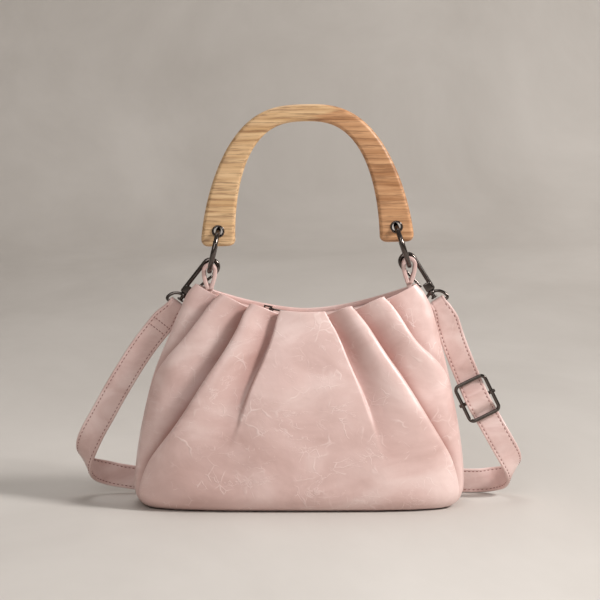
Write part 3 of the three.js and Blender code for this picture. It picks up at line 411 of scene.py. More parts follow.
bagSize = {
    "halfWidth": 120, "halfDepth": 44.5, "rimHeight": 140.8, "cornerRise": 20, "cornerPower": 1.7,
    "leather": 2.0, "seamGap": 0.3, "pleatDepth": 9, "pleatStep": 2.6, "overhang": 0.3, "puff": 1.3,
    # foldShade and foldReach set the shade painted into the pleat valleys: how dark it is, and how far in millimetres
    # it spreads.
    "valley": 0.95, "rimStep": 0.28, "foldShade": 0.92, "foldReach": 14,
    "rows": 96, "lowLevel": 0.1, "lowRows": 13,        # closer rows below the low level
    "panelColumns": 16, "stepColumns": 10, "endColumns": 22, "backColumns": 96, "rimRows": 5,
}
bagLevels = {
    "level": [0, 0.012, 0.04, 0.09, 0.2, 0.34, 0.48, 0.615, 0.727, 0.888, 0.96, 1],
    "width": [0.905, 0.945, 0.98, 1, 0.992, 0.964, 0.925, 0.882, 0.836, 0.762, 0.717, 0.671],
    "depth": [0.74, 0.86, 0.95, 1, 1, 0.97, 0.91, 0.82, 0.72, 0.58, 0.52, 0.49],
    "shift": [0, 0, 0, 0, 0.003, 0.006, 0.009, 0.015, 0.026, 0.044, 0.042, 0.042],
    "square": [3.6, 3.6, 3.5, 3.4, 3.2, 3, 2.8, 2.5, 2.2, 1.85, 1.7, 1.65],
}
foldLevels = [0, 0.2, 0.4, 0.6, 0.8, 1]
folds = [   # side the edge faces, place across the panel and depth share at foldLevels
    {"side": -1, "at": [-0.992, -0.992, -0.992, -0.985, -0.865, -0.757], "depth": [0, 0, 0, 0.05, 0.45, 0.5]},
    {"side": -1, "at": [-0.975, -0.9, -0.755, -0.64, -0.545, -0.484], "depth": [0, 0.5, 0.85, 1, 0.9, 0.6]},
    {"side": -1, "at": [-0.45, -0.42, -0.38, -0.33, -0.265, -0.221], "depth": [0, 0, 0.05, 0.3, 0.5, 0.45]},
    {"side": 1, "at": [0.52, 0.5, 0.45, 0.385, 0.28, 0.16], "depth": [0, 0, 0.05, 0.3, 0.5, 0.45]},
    {"side": 1, "at": [0.975, 0.91, 0.8, 0.68, 0.534, 0.396], "depth": [0, 0.5, 0.85, 1, 0.9, 0.6]},
    {"side": 1, "at": [0.992, 0.992, 0.992, 0.985, 0.795, 0.687], "depth": [0, 0, 0, 0.05, 0.45, 0.5]},
]


def rimAt(across):
    return bagSize["rimHeight"] + bagSize["cornerRise"] * np.abs(across) ** bagSize["cornerPower"]


def levelValue(column, level):
    return readTable(bagLevels["level"], bagLevels[column], level)


# Point of the plain body: across and depth are powers of the sine and cosine of the angle.
def bodyPoint(level, angle, sign):
    power = 2 / levelValue("square", level)
    across = bent(np.sin(angle), power)
    x = bagSize["halfWidth"] * (levelValue("shift", level) + levelValue("width", level) * across)
    y = bagSize["seamGap"] / 2 + bagSize["halfDepth"] * levelValue("depth", level) * np.abs(np.cos(angle)) ** power
    return np.stack([x, sign * y, level * rimAt(across)], -1)


def bodyNormal(level, angle, sign):
    small = 0.004
    up = bodyPoint(np.minimum(1, level + small), angle, sign) - bodyPoint(np.maximum(0, level - small), angle, sign)
    half = math.pi / 2
    along = (bodyPoint(level, np.minimum(half, angle + small), sign)
             - bodyPoint(level, np.maximum(-half, angle - small), sign))
    return unit(np.cross(along, up)) * (-sign)


def angleAt(level, across):
    across = np.clip(across, -0.9985, 0.9985)
    return np.sign(across) * np.arcsin(np.abs(across) ** (levelValue("square", level) / 2))


# Gentle hollows and swells of soft leather: a few slanted sine waves.
def softWaves(x, z, seed):
    waves = [(0.031, 0.047, 1.3), (0.052, -0.033, 0.9), (0.083, 0.061, 0.55), (-0.118, 0.094, 0.35)]
    total = np.zeros_like(x)
    for k, (a, b, size) in enumerate(waves):
        total += size * np.sin(a * x + b * z + seed * (k + 1.7)) * np.cos(b * x - a * z + seed * 0.6 * (k + 1))
    return total


# Columns of the front at each level: panels between the folds, and at each fold an
# S shape whose lip hangs over the valley beside it. Each column holds its angle, its
# height and how much painted shade from a fold its colour takes.
def pleatColumns(level):
    size = bagSize
    places = np.stack([readTable(foldLevels, fold["at"], level) for fold in folds])
    shares = np.stack([np.clip(readTable(foldLevels, fold["depth"], level), 0, 1) for fold in folds])
    depths = size["pleatDepth"] * shares
    step = size["pleatStep"] * (1 + 2 * (1 - level)) / size["halfWidth"]
    flat = np.zeros_like(level)
    columns = []

    # How the painted shade of a fold fades across the panel beside it.
    def fade(width, away):
        return np.exp(-(width * away / size["foldReach"]) ** 2)

    def panel(start, end, count):
        width = np.abs(end[0] - start[0]) * size["halfWidth"]
        for k in range(count):
            t = k / count
            height = start[1] + (end[1] - start[1]) * smooth(t) + size["puff"] * 4 * t * (1 - t) * level
            shade = start[2] * fade(width, t) + end[2] * fade(width, 1 - t)
            columns.append((start[0] + (end[0] - start[0]) * t, height, shade))

    before = (flat - math.pi / 2, flat, flat)
    for i, fold in enumerate(folds):
        side = fold["side"]
        neighbour = places[i + side] if 0 <= i + side < len(folds) and folds[i + side]["side"] == side else side
        width = np.minimum(step, np.abs(neighbour - places[i]) / 2)
        lip = np.minimum(size["overhang"] * depths[i] / size["halfWidth"], width * 1.4)

        def profile(t):
            reach = width * t + lip * np.sin(2 * math.pi * t)
            height = depths[i] * (0.5 - (0.5 + size["valley"]) * smooth(t))
            # Painted shade: how dark the colour is made in the valley beside this fold.
            shade = size["foldShade"] * np.sqrt(shares[i]) * smooth((t - 0.25) / 0.6)
            return angleAt(level, places[i] + side * reach), height, shade

        first, last = (1, 0) if side < 0 else (0, 1)
        panel(before, profile(first), size["panelColumns"] if i else size["endColumns"])
        columns.extend(profile(first + (last - first) * k / size["stepColumns"]) for k in range(size["stepColumns"]))
        before = profile(last)
    panel(before, (flat + math.pi / 2, flat, flat), size["endColumns"])
    columns.append((flat + math.pi / 2, flat, flat))
    return [np.stack([column[k] for column in columns], -1) for k in range(3)]


# Rolls the rim over: extra rows on a half circle from the outside to the inside.
def rolledRim(outside, inside):
    turn = np.linspace(0, math.pi, bagSize["rimRows"] + 2)[1:-1, None, None]
    top, under = outside[-1][None], inside[-1][None]
    rise = xyz(0, 0, bagSize["leather"] * 0.45)
    rows = (top + under) / 2 + (top - under) / 2 * np.cos(turn) + rise * np.sin(turn)
    middle = len(rows) // 2
    return np.concatenate([outside, rows[:middle + 1]]), np.concatenate([inside, rows[:middle - 1:-1]])


def panelGrids(sign):
    low, lowRows = bagSize["lowLevel"], bagSize["lowRows"]
    level = np.concatenate([np.linspace(0, low, lowRows + 1)[:-1], np.linspace(low, 1, bagSize["rows"] - lowRows)])
    if sign < 0:
        angle, height, shade = pleatColumns(level)
    else:
        angle = np.broadcast_to(np.linspace(-math.pi / 2, math.pi / 2, bagSize["backColumns"]),
                                (len(level), bagSize["backColumns"])).copy()
        height, shade = np.zeros_like(angle), np.zeros_like(angle)
    levels = np.broadcast_to(level[:, None], angle.shape)
    normal = bodyNormal(levels, angle, sign)
    plain = bodyPoint(levels, angle, sign)
    plain[..., 2] += bagSize["rimStep"] * height * levels ** 9
    calm = smooth(levels / 0.15) * smooth((1 - levels) / 0.1) * np.cos(angle) ** 0.5
    height = height + 0.45 * softWaves(plain[..., 0], plain[..., 2], 1.1 if sign < 0 else 4.2) * calm
    outside = plain + normal * height[..., None]
    shade = shade * smooth(levels / 0.25)
    inward = np.where(levels[..., None] == 0, xyz(0.0, 0, 1), -normal)
    inside = outside + inward * bagSize["leather"]
    if sign > 0:
        outside, inside = outside[:, ::-1], inside[:, ::-1]
    return outside, inside, shade


frontOutside, frontInside, frontShade = panelGrids(-1)
backOutside, backInside, _ = panelGrids(1)
front = leatherPiece("front_leather", [wall(*rolledRim(frontOutside, frontInside))], "front_panel")
# The front's fold attribute holds its painted pleat shade. It is zero on the inside and on the rolled rim.
foldShade = np.zeros(len(front.data.vertices))
foldShade[:frontShade.size] = frontShade.ravel()
front.data.attributes.new("fold", "FLOAT", "POINT").data.foreach_set("value", foldShade)
leatherPiece("back_leather", [wall(*rolledRim(backOutside, backInside))], "back_panel")
print("bag body made")


# Base: a flat oval with a soft edge, sewn inside the lower edges of front and back

baseSize = {"thickness": 2.5, "inset": 0.5, "round": 0.8}


def basePanel():
    outline = np.concatenate([frontOutside[0], backOutside[0]])[:, :2]
    outline = outline * (1 - baseSize["inset"] / np.linalg.norm(outline, axis=1, keepdims=True))
    turn = np.linspace(0, math.pi / 2, 4)
    lift, draw = baseSize["round"] * (1 - np.cos(turn)), baseSize["round"] * (1 - np.sin(turn))
    rise = np.concatenate([lift, baseSize["thickness"] - lift[::-1]])[:, None, None]
    draw = np.concatenate([draw, draw[::-1]])[:, None, None]
    scale = 1 - draw / np.linalg.norm(outline, axis=1, keepdims=True)
    return closedTube(np.concatenate([outline * scale, rise + 0 * scale], -1))


leatherPiece("base_leather", [basePanel()], "base_panel")
print("base made")


# Corners: where each side's ring, loop and hook stand

handleSize = {
    "width": 154.6, "rise": 101, "opening": 104.8, "openingRise": 88.7, "thickness": 10, "rounding": 3,
    "legCorner": 5, "turn": 1.45, "centreX": 6, "endHeight": 190.3, "boreRadius": 3.95,
    "outer": (2.8, 1.5), "inner": (2.7, 2.2),          # exponents across and up
    "eyeletSpacing": 129, "eyeletAbove": 11, "rows": 130, "legTurn": 0.11,
}
ringSize = {"radius": 15.6, "wire": 3.6, "eyeletHole": 3.25, "flange": 4.6, "flangeThick": 0.6, "gap": 0.3}
sides = {
    "left": {"sign": -1, "ringLean": 12.5, "hookLean": 38, "loopTop": 173.4},
    "right": {"sign": 1, "ringLean": 18.5, "hookLean": 32, "loopTop": 178.2},
}
hookSize = {
    "wire": 3.3, "span": 10.6, "reach": 26.6, "tip": 3, "y": 9, "block": 6.4, "post": 1.4, "postLength": 6,
    "postAcross": 2.6, "gateThick": 2, "gateDepth": 3, "gateAcross": 6.9, "gateAlong": 5.6,
    "eyeWire": 2.3, "eyeWidth": 19.6, "eyeHeight": 9.6, "boss": 2.6, "bossGap": 0.7,
}
handlePivot = xyz(handleSize["centreX"], 0, handleSize["endHeight"] + handleSize["eyeletAbove"])


# Turns points about y by an angle in radians, as a rotation of the x and z axes.
def turnY(points, angle):
    x, y, z = points[..., 0], points[..., 1], points[..., 2]
    return np.stack([x * math.cos(angle) + z * math.sin(angle), y, z * math.cos(angle) - x * math.sin(angle)], -1)


def handleToBag(points):
    return turnY(points, -math.radians(handleSize["turn"])) + handlePivot


# Where a side's eyelet stands in the handle's own frame.
def eyeletPlace(side):
    return xyz(side["sign"] * handleSize["eyeletSpacing"] / 2, 0, 0)


def cornerOf(side):
    lean = math.radians(side["ringLean"])
    eyelet = handleToBag(eyeletPlace(side))
    down = xyz(side["sign"] * math.sin(lean), 0, -math.cos(lean))
    drop = ringSize["radius"] - (ringSize["eyeletHole"] - ringSize["wire"] / 2 - ringSize["gap"])
    centre = eyelet + down * drop
    return {"down": down, "centre": centre, "loopX": (centre + down * ringSize["radius"])[0]}


corners = {name: cornerOf(side) for name, side in sides.items()}


# Wooden handle: a rounded section between two superellipses, with rounded leg ends

# Where rays at the given turns from the middle between the leg ends meet a superellipse.
def archPoints(halfWidth, rise, powers, turn):
    angle = np.linspace(0, math.pi, 4001)
    x = halfWidth * bent(np.cos(angle), 2 / powers[0])
    z = rise * np.abs(np.sin(angle)) ** (2 / powers[1])
    seen = np.arctan2(z, x)
    return np.stack([np.interp(turn, seen, x), np.interp(turn, seen, z)], -1)


def woodArch():
    size = handleSize
    leg = size["legTurn"] * (1 - np.cos(np.linspace(0, math.pi / 2, 12)))
    middle = np.linspace(leg[-1], math.pi - leg[-1], size["rows"])[1:-1]
    turn = np.concatenate([leg, middle, math.pi - leg[::-1]])
    outer = archPoints(size["width"] / 2, size["rise"], size["outer"], turn)
    inner = archPoints(size["opening"] / 2, size["openingRise"], size["inner"], turn)
    above = (outer[:, 1] + inner[:, 1]) / 2
    insets = [radius - np.sqrt(np.maximum(0, radius ** 2 - np.maximum(0, radius - above) ** 2))
              for radius in (size["legCorner"], size["rounding"])]
    halfA = np.linalg.norm(outer - inner, axis=1) / 2 - insets[0]
    halfB = size["thickness"] / 2 - insets[1]
    corner = np.minimum(size["rounding"], halfB)
    path = (outer + inner) / 2
    grid = sweepFlat(path, halfA, halfB, corner, domes=False, side=unit(outer - inner), perCorner=8)
    return handleToBag(grid - xyz(0, 0, size["eyeletAbove"]))


# Bores both holes with a boolean whose result is written back to the mesh.
def boreHandle(piece):
    for side in sides.values():
        centre = handleToBag(eyeletPlace(side)) * millimetre
        bpy.ops.mesh.primitive_cylinder_add(vertices=48, radius=handleSize["boreRadius"] * millimetre, depth=0.03,
                                            location=centre, rotation=(math.pi / 2, 0, 0))
        drill = bpy.context.object
        bpy.context.view_layer.update()
        cut = piece.modifiers.new("bore", "BOOLEAN")
        cut.operation, cut.object, cut.solver = "DIFFERENCE", drill, "EXACT"
        bored = bpy.data.meshes.new_from_object(piece.evaluated_get(bpy.context.evaluated_depsgraph_get()))
        piece.modifiers.remove(cut)
        piece.data = bored
        bpy.data.objects.remove(drill)
    piece.data.shade_smooth()
    piece.data.set_sharp_from_angle(angle=math.radians(40))


arch = makePiece("wood_arch", [closedTube(woodArch()[:, ::-1])], handleWood, "handle", ["wood_handle"])
boreHandle(arch)
print("handle made")


# Eyelets: rolled flanges on both faces round a barrel

def eyeletProfile():
    hole, flange, thick = ringSize["eyeletHole"], ringSize["flange"], ringSize["flangeThick"]
    face = handleSize["thickness"] / 2 + 0.15
    turn = np.linspace(0, math.pi, 9)
    middle, half = (hole + flange) / 2, (flange - hole) / 2
    top = np.stack([middle + half * np.cos(turn), face + thick * np.sin(turn) * 1.2], -1)
    barrel = np.array([[hole, 3.0], [hole, 0], [hole, -3.0]])
    outer = np.array([[hole + 0.55, -face + 0.1], [hole + 0.55, 0], [hole + 0.55, face - 0.1]])
    return np.concatenate([top, barrel, (top * [1, -1])[::-1], outer])


for name, side in sides.items():
    ring = handleToBag(lathe(eyeletProfile(), 48) + eyeletPlace(side))
    metalPiece("eyelet_metal_" + name, [closedRing(ring)], "eyelet_" + name, "handle")


# Rings: a torus in the plane of y and the lean

def ringShape(corner):
    across, wire = xyz(0, 1, 0), ringSize["wire"] / 2
    axis = np.cross(corner["down"], across)
    u, v = around(96)[:, None, None], around(24)[:, None]
    spoke = np.cos(u) * across + np.sin(u) * corner["down"]
    return corner["centre"] + spoke * (ringSize["radius"] + wire * np.cos(v)) + axis * np.sin(v) * wire


for name in sides:
    metalPiece("ring_metal_" + name, [closedRing(ringShape(corners[name]))], "ring_" + name)
print("eyelets and rings made")


# Leather loops: a strip folded round the ring, its two ends closed together in a tail

loopSize = {
    "strip": 2.9, "holeWidth": 5.2, "holeHeight": 14.8, "depth": 10, "tail": 6, "tailWidth": 2.4,
    "tailDepth": (5, 3.2),
}


def bezier(points, steps):
    t = np.linspace(0, 1, steps)[:, None]
    shares = [(1 - t) ** 3, 3 * (1 - t) ** 2 * t, 3 * (1 - t) * t * t, t ** 3]
    return sum(share * np.array(point) for share, point in zip(shares, points))


def loopShapes(tailDepth):
    size = loopSize
    inner, half = size["holeWidth"] / 2, size["strip"] / 2
    top = size["holeHeight"] - inner
    reach = inner + half
    right = bezier([(half * 0.9, -0.6), (half * 1.7, top * 0.3), (reach, top * 0.5), (reach, top)], 16)
    over = arc(0, top, reach, 0, math.pi, 24)[1:-1]
    path = np.concatenate([right, over, (right * [-1, 1])[::-1]])
    strip = sweepFlat(path, half, size["depth"] / 2, 0.8, perCorner=5)
    tailPath = [(0, -size["tail"]), (0, -3), (0, 0.6)]
    tail = sweepFlat(tailPath, [size["tailWidth"] / 2, 1.9, 2.4], tailDepth / 2, 0.6, perCorner=4)
    return [strip, tail]


for name, tailDepth in zip(sides, loopSize["tailDepth"]):
    place = xyz(corners[name]["loopX"], 0, sides[name]["loopTop"] - loopSize["holeHeight"])
    shapes = [closedTube(grid + place) for grid in loopShapes(tailDepth)]
    leatherPiece("loop_leather_" + name, shapes, "loop_" + name, strapLeather)


# Snap hooks in their own frame: x across towards the bag, z along, the spine on x = 0

def hookToBag(name, points):
    side, corner = sides[name], corners[name]
    reach = ringSize["radius"] - ringSize["wire"] / 2 - hookSize["wire"] / 2 - ringSize["gap"]
    depth = math.sqrt(reach ** 2 - hookSize["y"] ** 2) + hookSize["span"] / 2
    centre = corner["centre"] + corner["down"] * depth
    centre[1] = hookSize["y"]
    local = points - xyz(hookSize["span"] / 2, 0, hookSize["reach"])
    if side["sign"] > 0:
        local = local * xyz(-1, -1, 1)
    return turnY(local, -side["sign"] * math.radians(side["hookLean"])) + centre


def hookShapes():
    size = hookSize
    spine = np.stack([np.zeros(16), np.linspace(0.6, size["reach"], 16)], -1)
    bow = arc(size["span"] / 2, size["reach"], size["span"] / 2, math.pi, 0, 24)[1:]
    nose = np.array([[size["span"], size["reach"] - size["tip"] * t] for t in (0.3, 0.6, 0.8)])
    path = np.concatenate([spine, bow, nose])
    wire = sweepFlat(path, size["wire"] / 2, size["wire"] / 2, size["wire"] / 2)
    half, axis = size["block"] / 2, xyz(size["postAcross"], 0, 0)
    body = block((half, size["wire"] * 0.65, half)) + xyz(half - 1, 0, half - 0.4)
    post = lathe([(size["post"], 0), (size["post"], -size["postLength"])], 20)
    post = post.swapaxes(0, 1)[:, ::-1][..., [0, 2, 1]] + axis
    head = block((size["post"] * 1.8, size["post"] * 1.8, 0.75), 0.5) + axis - xyz(0, 0, size["postLength"])
    return [wire, body, post, head]


def gateShape():
    size = hookSize
    tip = np.array([size["span"] - 0.3, size["reach"] - size["tip"] - 0.3 - size["gateThick"] / 2])
    start = np.array([size["gateAcross"], size["gateAlong"]])
    path = start + (tip - start) * np.linspace(0.03, 0.94, 12)[:, None]
    return sweepFlat(path, size["gateThick"] / 2, size["gateDepth"] / 2, 0.8)


def eyeShapes():
    size = hookSize
    reach = (size["eyeWidth"] - size["eyeWire"]) / 2
    soft = 1.6
    bottom = -size["eyeHeight"]
    over = arc(0, -reach, reach, 0, math.pi, 30)
    lowLeft = arc(-reach + soft, bottom + soft, soft, math.pi, 1.5 * math.pi, 6)
    lowRight = arc(reach - soft, bottom + soft, soft, 1.5 * math.pi, 2 * math.pi, 6)
    path = np.concatenate([over, lowLeft, lowRight])
    wire = sweepFlat(path, size["eyeWire"] / 2, size["eyeWire"] / 2, size["eyeWire"] / 2, closed=True)
    outer, hole, half, edge = size["post"] + 1.5, size["post"] + 0.3, size["boss"] / 2, 0.4
    profile = [(outer, edge - half), (outer, half - edge), (outer - edge, half), (hole, half), (hole, -half),
               (outer - edge, -half)]
    boss = lathe(profile, 28)[:, ::-1][..., [0, 2, 1]]
    place = xyz(size["postAcross"], 0, -(size["bossGap"] + half))
    return [wire + place, boss + place]


for name in sides:
    shapes = [closedTube(hookToBag(name, grid)) for grid in hookShapes()]
    metalPiece("hook_metal_" + name, shapes, "hook_" + name, name + "_hook", 50)
    metalPiece("gate_metal_" + name, [closedTube(hookToBag(name, gateShape()))], "gate_" + name, name + "_gate")
    shapes = [closedRing(hookToBag(name, grid)) for grid in eyeShapes()]
    metalPiece("strap_eye_metal_" + name, shapes, "strap_eye_" + name, sharp=50)
print("loops and hooks made")


# Top zip: a facing along each rim, two tapes, and the teeth

zipSize = {
    "drop": 3, "facing": 1.4, "width": 5.2, "gap": 0.3, "pitch": 1.6, "tooth": (0.95, 1.9, 1.5), "rows": 90,
    "columns": 8, "tapeThick": 0.6,
}
rimHalf = bagSize["halfWidth"] * bagLevels["width"][-1]
rimShift = bagSize["halfWidth"] * bagLevels["shift"][-1]
zipEnds = [corners[name]["loopX"] - sides[name]["sign"] * (loopSize["strip"] + 0.3) for name in sides]
zipX = np.linspace(*zipEnds, zipSize["rows"])[:, None]


def zipTop(x):
    return rimAt((x - rimShift) / rimHalf) - zipSize["drop"]


# Where the inside of a panel lies, just under its rim, at each x.
def wallLine(inside, x):
    row = inside[-3]
    order = np.argsort(row[:, 0])
    return np.interp(x, row[order, 0], row[order, 1])


# A strip between the ends of the zip, a thickness deep, on the front or the back side.
def zipStrip(x, y, z, thick, sign):
    top = np.stack(np.broadcast_arrays(x, y, z), -1)
    under = top - xyz(0, 0, thick)
    return wall(top, under) if sign > 0 else wall(top[::-1], under[::-1])


def facingShape(inside, sign):
    t = np.linspace(0, 1, zipSize["columns"])
    outer = wallLine(inside, zipX) - sign * 0.5
    inner = sign * (zipSize["width"] / 2 + zipSize["gap"])
    z = zipTop(zipX) - 0.5 * np.sin(math.pi * t)
    return zipStrip(zipX, outer + (inner - outer) * t, z, zipSize["facing"], sign)


def tapeShape(sign):
    y = sign * np.array([zipSize["width"] / 2, 0.2])
    return zipStrip(zipX, y, zipTop(zipX) - 0.9, zipSize["tapeThick"], sign)


# Teeth: one small rounded block repeated along the chain, the two rows half a pitch apart.
def teethShape():
    size = zipSize
    x = zipEnds[0] + 2 + size["pitch"] * np.arange(int((zipEnds[1] - zipEnds[0] - 4) / size["pitch"]))
    rows = [np.stack([x + shift, y + 0 * x, zipTop(x + shift) - 0.75], -1)
            for shift, y in ((0, -0.55), (size["pitch"] / 2, 0.55))]
    return repeated(block(np.array(size["tooth"]) / 2, 0.5, rows=6, columns=10), np.concatenate(rows))


for name, inside, sign in (("front", frontInside, -1), ("back", backInside, 1)):
    leatherPiece("facing_leather_" + name, [facingShape(inside, sign)], "zip_facing_" + name)


makePiece("zip_tapes", [tapeShape(-1), tapeShape(1)], tapeCloth, "bag")
makePiece("zip_teeth", [teethShape()], zipMetal, "bag", ["zip_chain"])
for node in ("zip_slider", "zip_pull"):
    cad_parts[node].data.materials.clear()
    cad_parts[node].data.materials.append(gunmetal)
print("zip made")


# Strap: a stitched ribbon whose middle follows a centripetal curve through the route

strapSize = {
    "width": 18, "endWidth": 12.6, "thickness": 2.4, "taper": 16, "fold": 24, "lead": 7, "lift": 0.4,
    "bendRadius": 16, "bendLean": 26.7, "bendSteps": 6, "gap": 0.3, "stations": 560, "acrossPoints": 22,
    "stitchInset": 2.1, "stitchPitch": 3.1, "stitchLength": 2.0, "stitchRadius": 0.32,
    "endGap": 0.4, "runStep": 0.8, "wrapSteps": 16, "edgeRound": 0.9, "grooveDepth": 0.2, "grooveWidth": 0.55,
}
strapDown = [(114.2, 111.8, 0.93, 0.36), (130.7, 72.1, 0.9, 0.43), (142.5, 50.6, 0.87, 0.49)]   # x, low, edge x and z
strapFloor = [(114, 43.5), (92, 47.5), (55, 51), (0, 51.5), (-55, 51), (-90, 48), (-108, 45)]   # x, y
strapUp = [(-143.6, 60.6, -0.87, 0.49), (-132.4, 80, -0.83, 0.55), (-114.3, 108.3, -0.81, 0.58)]
strapBends = [(151, 40, 34), (-152, 50, 41)]                                                     # x, z, advance
buckleSize = {"width": 26.6, "length": 31, "side": 3, "bar": 2.6, "thick": 3, "corner": 5, "pin": 1.3, "curl": 2.15}


def hangingRow(x, low, edgeX, edgeZ):
    edge = unit(xyz(edgeX, 0, edgeZ))
    return xyz(x, hookSize["y"], low + edge[2] * strapSize["width"] / 2), edge


def floorRow(x, y):
    return xyz(x, y, strapSize["lift"] + strapSize["width"] / 2), xyz(0, 0, 1.0)


# Half a turn of a helix round a leaning axis, from the hanging run to the floor run.
def bendRows(x, z, advance):
    sign, radius = np.sign(x), strapSize["bendRadius"]
    lean = math.radians(strapSize["bendLean"])
    axis = xyz(-sign * math.sin(lean), 0, -math.cos(lean))
    away = xyz(sign * math.cos(lean), 0, -math.sin(lean))
    back = xyz(0, 1.0, 0)
    rows = []
    for turn in np.linspace(0, math.pi, strapSize["bendSteps"] + 1):
        start = xyz(x, hookSize["y"], z) + back * radius * (1 - math.cos(turn))
        point = start + away * radius * math.sin(turn) + axis * advance * turn / math.pi
        run = away * radius * math.cos(turn) + back * radius * math.sin(turn) + axis * advance / math.pi
        outside = away * math.sin(turn) - back * math.cos(turn)
        rows.append((point, unit(np.cross(run, outside) * -sign)))
    return rows


# The middle of a strap eye's bar, a point the strap's lead past it, and the way inwards.
def barOf(name):
    across = hookSize["postAcross"]
    drop = -(hookSize["bossGap"] + hookSize["boss"] / 2 + hookSize["eyeHeight"])
    local = xyz(across, 0, drop), xyz(across, 0, drop - strapSize["lead"]), xyz(across - 1, 0, drop)
    place, lead, out = (hookToBag(name, point) for point in local)
    return place, lead, out - place


# Centripetal curve through the points, with sixty samples in each span.
def curveThrough(points, perSpan=60):
    padded = np.concatenate([2 * points[:1] - points[1:2], points, 2 * points[-1:] - points[-2:-1]])
    gaps = np.sqrt(np.linalg.norm(np.diff(padded, axis=0), axis=1))
    t = np.linspace(0, 1, perSpan, endpoint=False)[:, None]
    pieces = []
    for k in range(len(points) - 1):
        p0, p1, p2, p3 = padded[k:k + 4]
        d0, d1, d2 = gaps[k:k + 3]
        m1 = ((p1 - p0) / d0 - (p2 - p0) / (d0 + d1) + (p2 - p1) / d1) * d1
        m2 = ((p2 - p1) / d1 - (p3 - p1) / (d1 + d2) + (p3 - p2) / d2) * d1
        pieces.append(p1 + m1 * t + (-3 * p1 + 3 * p2 - 2 * m1 - m2) * t ** 2 + (2 * p1 - 2 * p2 + m1 + m2) * t ** 3)
    pieces.append(points[-1:])
    return np.concatenate(pieces)


# Reads rows of vectors at distances between their keys.
def readRows(at, keys, rows):
    return np.stack([np.interp(at, keys, rows[:, k]) for k in range(3)], -1)


# The part of an edge direction that is square to the run.
def squared(edge, run):
    return unit(edge - run * np.sum(edge * run, -1, keepdims=True))


def strapTrack():
    right, left = barOf("right"), barOf("left")
    rows = [(right[0], right[2]), (right[1], right[2])]
    rows += [hangingRow(*row) for row in strapDown]
    rows += bendRows(*strapBends[0])
    rows += [floorRow(*row) for row in strapFloor]
    rows += bendRows(*strapBends[1])[::-1]
    rows += [hangingRow(*row) for row in strapUp]
    rows += [(left[1], left[2]), (left[0], left[2])]
    points = curveThrough(np.array([row[0] for row in rows]))
    share = np.linspace(0, len(rows) - 1, len(points))
    edges = readRows(share, np.arange(len(rows)), np.array([row[1] for row in rows]))
    along = np.concatenate([[0], np.cumsum(np.linalg.norm(np.diff(points, axis=0), axis=1))])
    return {"points": points, "edges": edges, "along": along, "length": along[-1]}


track = strapTrack()


# Middle, run, edge and face directions of the strap at distances s along it.
def stationAt(s):
    s = np.clip(s, 0, track["length"])
    ends = np.minimum(s + strapSize["runStep"], track["length"]), np.maximum(s - strapSize["runStep"], 0)
    point, ahead, behind = (readRows(at, track["along"], track["points"]) for at in (s, *ends))
    run = unit(ahead - behind)
    edge = squared(readRows(s, track["along"], track["edges"]), run)
    return point, run, edge, np.cross(run, edge)


bucklePlace = hangingRow(*strapDown[1])[0]
buckleArc = track["along"][np.argmin(np.linalg.norm(track["points"] - bucklePlace, axis=1))]
layerStep = strapSize["thickness"] + 2 * strapSize["gap"]
layer = layerStep / 2
wrapRadius = hookSize["eyeWire"] / 2 + layer
barArc = buckleSize["length"] / 2 - buckleSize["bar"] / 2


# How far the outer layer stands off the middle line: over the pin, behind the bars, and
# round the strap eyes at both ends.
def outerLayer(s):
    level = buckleSize["pin"] + strapSize["thickness"]
    behind, over = -(buckleSize["thick"] / 2 + layer), buckleSize["pin"] + layer
    far = np.abs(s - buckleArc)
    near = over + (behind - over) * smooth((far - level) / (barArc - level - buckleSize["bar"]))
    away = behind * (1 - smooth((far - barArc - buckleSize["bar"]) / barArc))
    weave = np.where(far < barArc, near, away)
    reach = 2 * strapSize["taper"]
    ends = 2 - smooth(s / reach) - smooth((track["length"] - s) / reach)
    return weave + wrapRadius * ends


def backLayer(s):
    free = np.minimum(-wrapRadius, outerLayer(s) - layerStep)
    pin = -(buckleSize["pin"] + layer)
    return pin + (free - pin) * smooth((buckleArc - s) / barArc)


def foldLayer(s):
    rest = smooth((track["length"] - s) / (2 * strapSize["taper"]))
    return outerLayer(s) - (2 * wrapRadius + (layerStep - 2 * wrapRadius) * rest)


def widthAt(s):
    fromEnd = np.minimum(s, track["length"] - s)
    return strapSize["endWidth"] + (strapSize["width"] - strapSize["endWidth"]) * smooth(fromEnd / strapSize["taper"])


# One run of the strap: centres, edge directions, faces and widths at distances s.
def strapRun(s, offset):
    point, run, edge, face = stationAt(s)
    centre = point + face * offset(s)[:, None]
    run = unit(np.gradient(centre, axis=0))
    edge = squared(edge, run)
    return centre, edge, np.cross(run, edge), widthAt(s)


# The half turn round a strap eye's bar, between the faces of the two layers.
def strapWrap(s, outwards):
    point, run, edge, face = stationAt(s)
    turn = np.linspace(0, math.pi, strapSize["wrapSteps"])[1:-1, None]
    radial = outwards * (face * np.cos(turn) + run * np.sin(turn))
    centre = point + radial * wrapRadius
    return centre, edge + 0 * radial, radial, np.full(len(turn), strapSize["endWidth"])


# Section across the strap: a turned edge on each side, a groove under each stitch row and
# a faintly padded middle.
def strapProfile(width):
    size = strapSize
    t = np.linspace(-1, 1, size["acrossPoints"] * 2)
    across = np.sin(t * math.pi / 2)
    x = across * (width[:, None] / 2)
    fromEdge = width[:, None] / 2 - np.abs(x)
    roundEdge = np.sqrt(np.clip(1 - (1 - np.clip(fromEdge / size["edgeRound"], 0, 1)) ** 2, 0, 1))
    groove = size["grooveDepth"] * np.exp(-((fromEdge - size["stitchInset"]) / size["grooveWidth"]) ** 2)
    crown = 0.06 * np.cos(across * math.pi / 2)[None, :]
    return x, size["thickness"] / 2 * (roundEdge * (0.94 + crown) - groove)


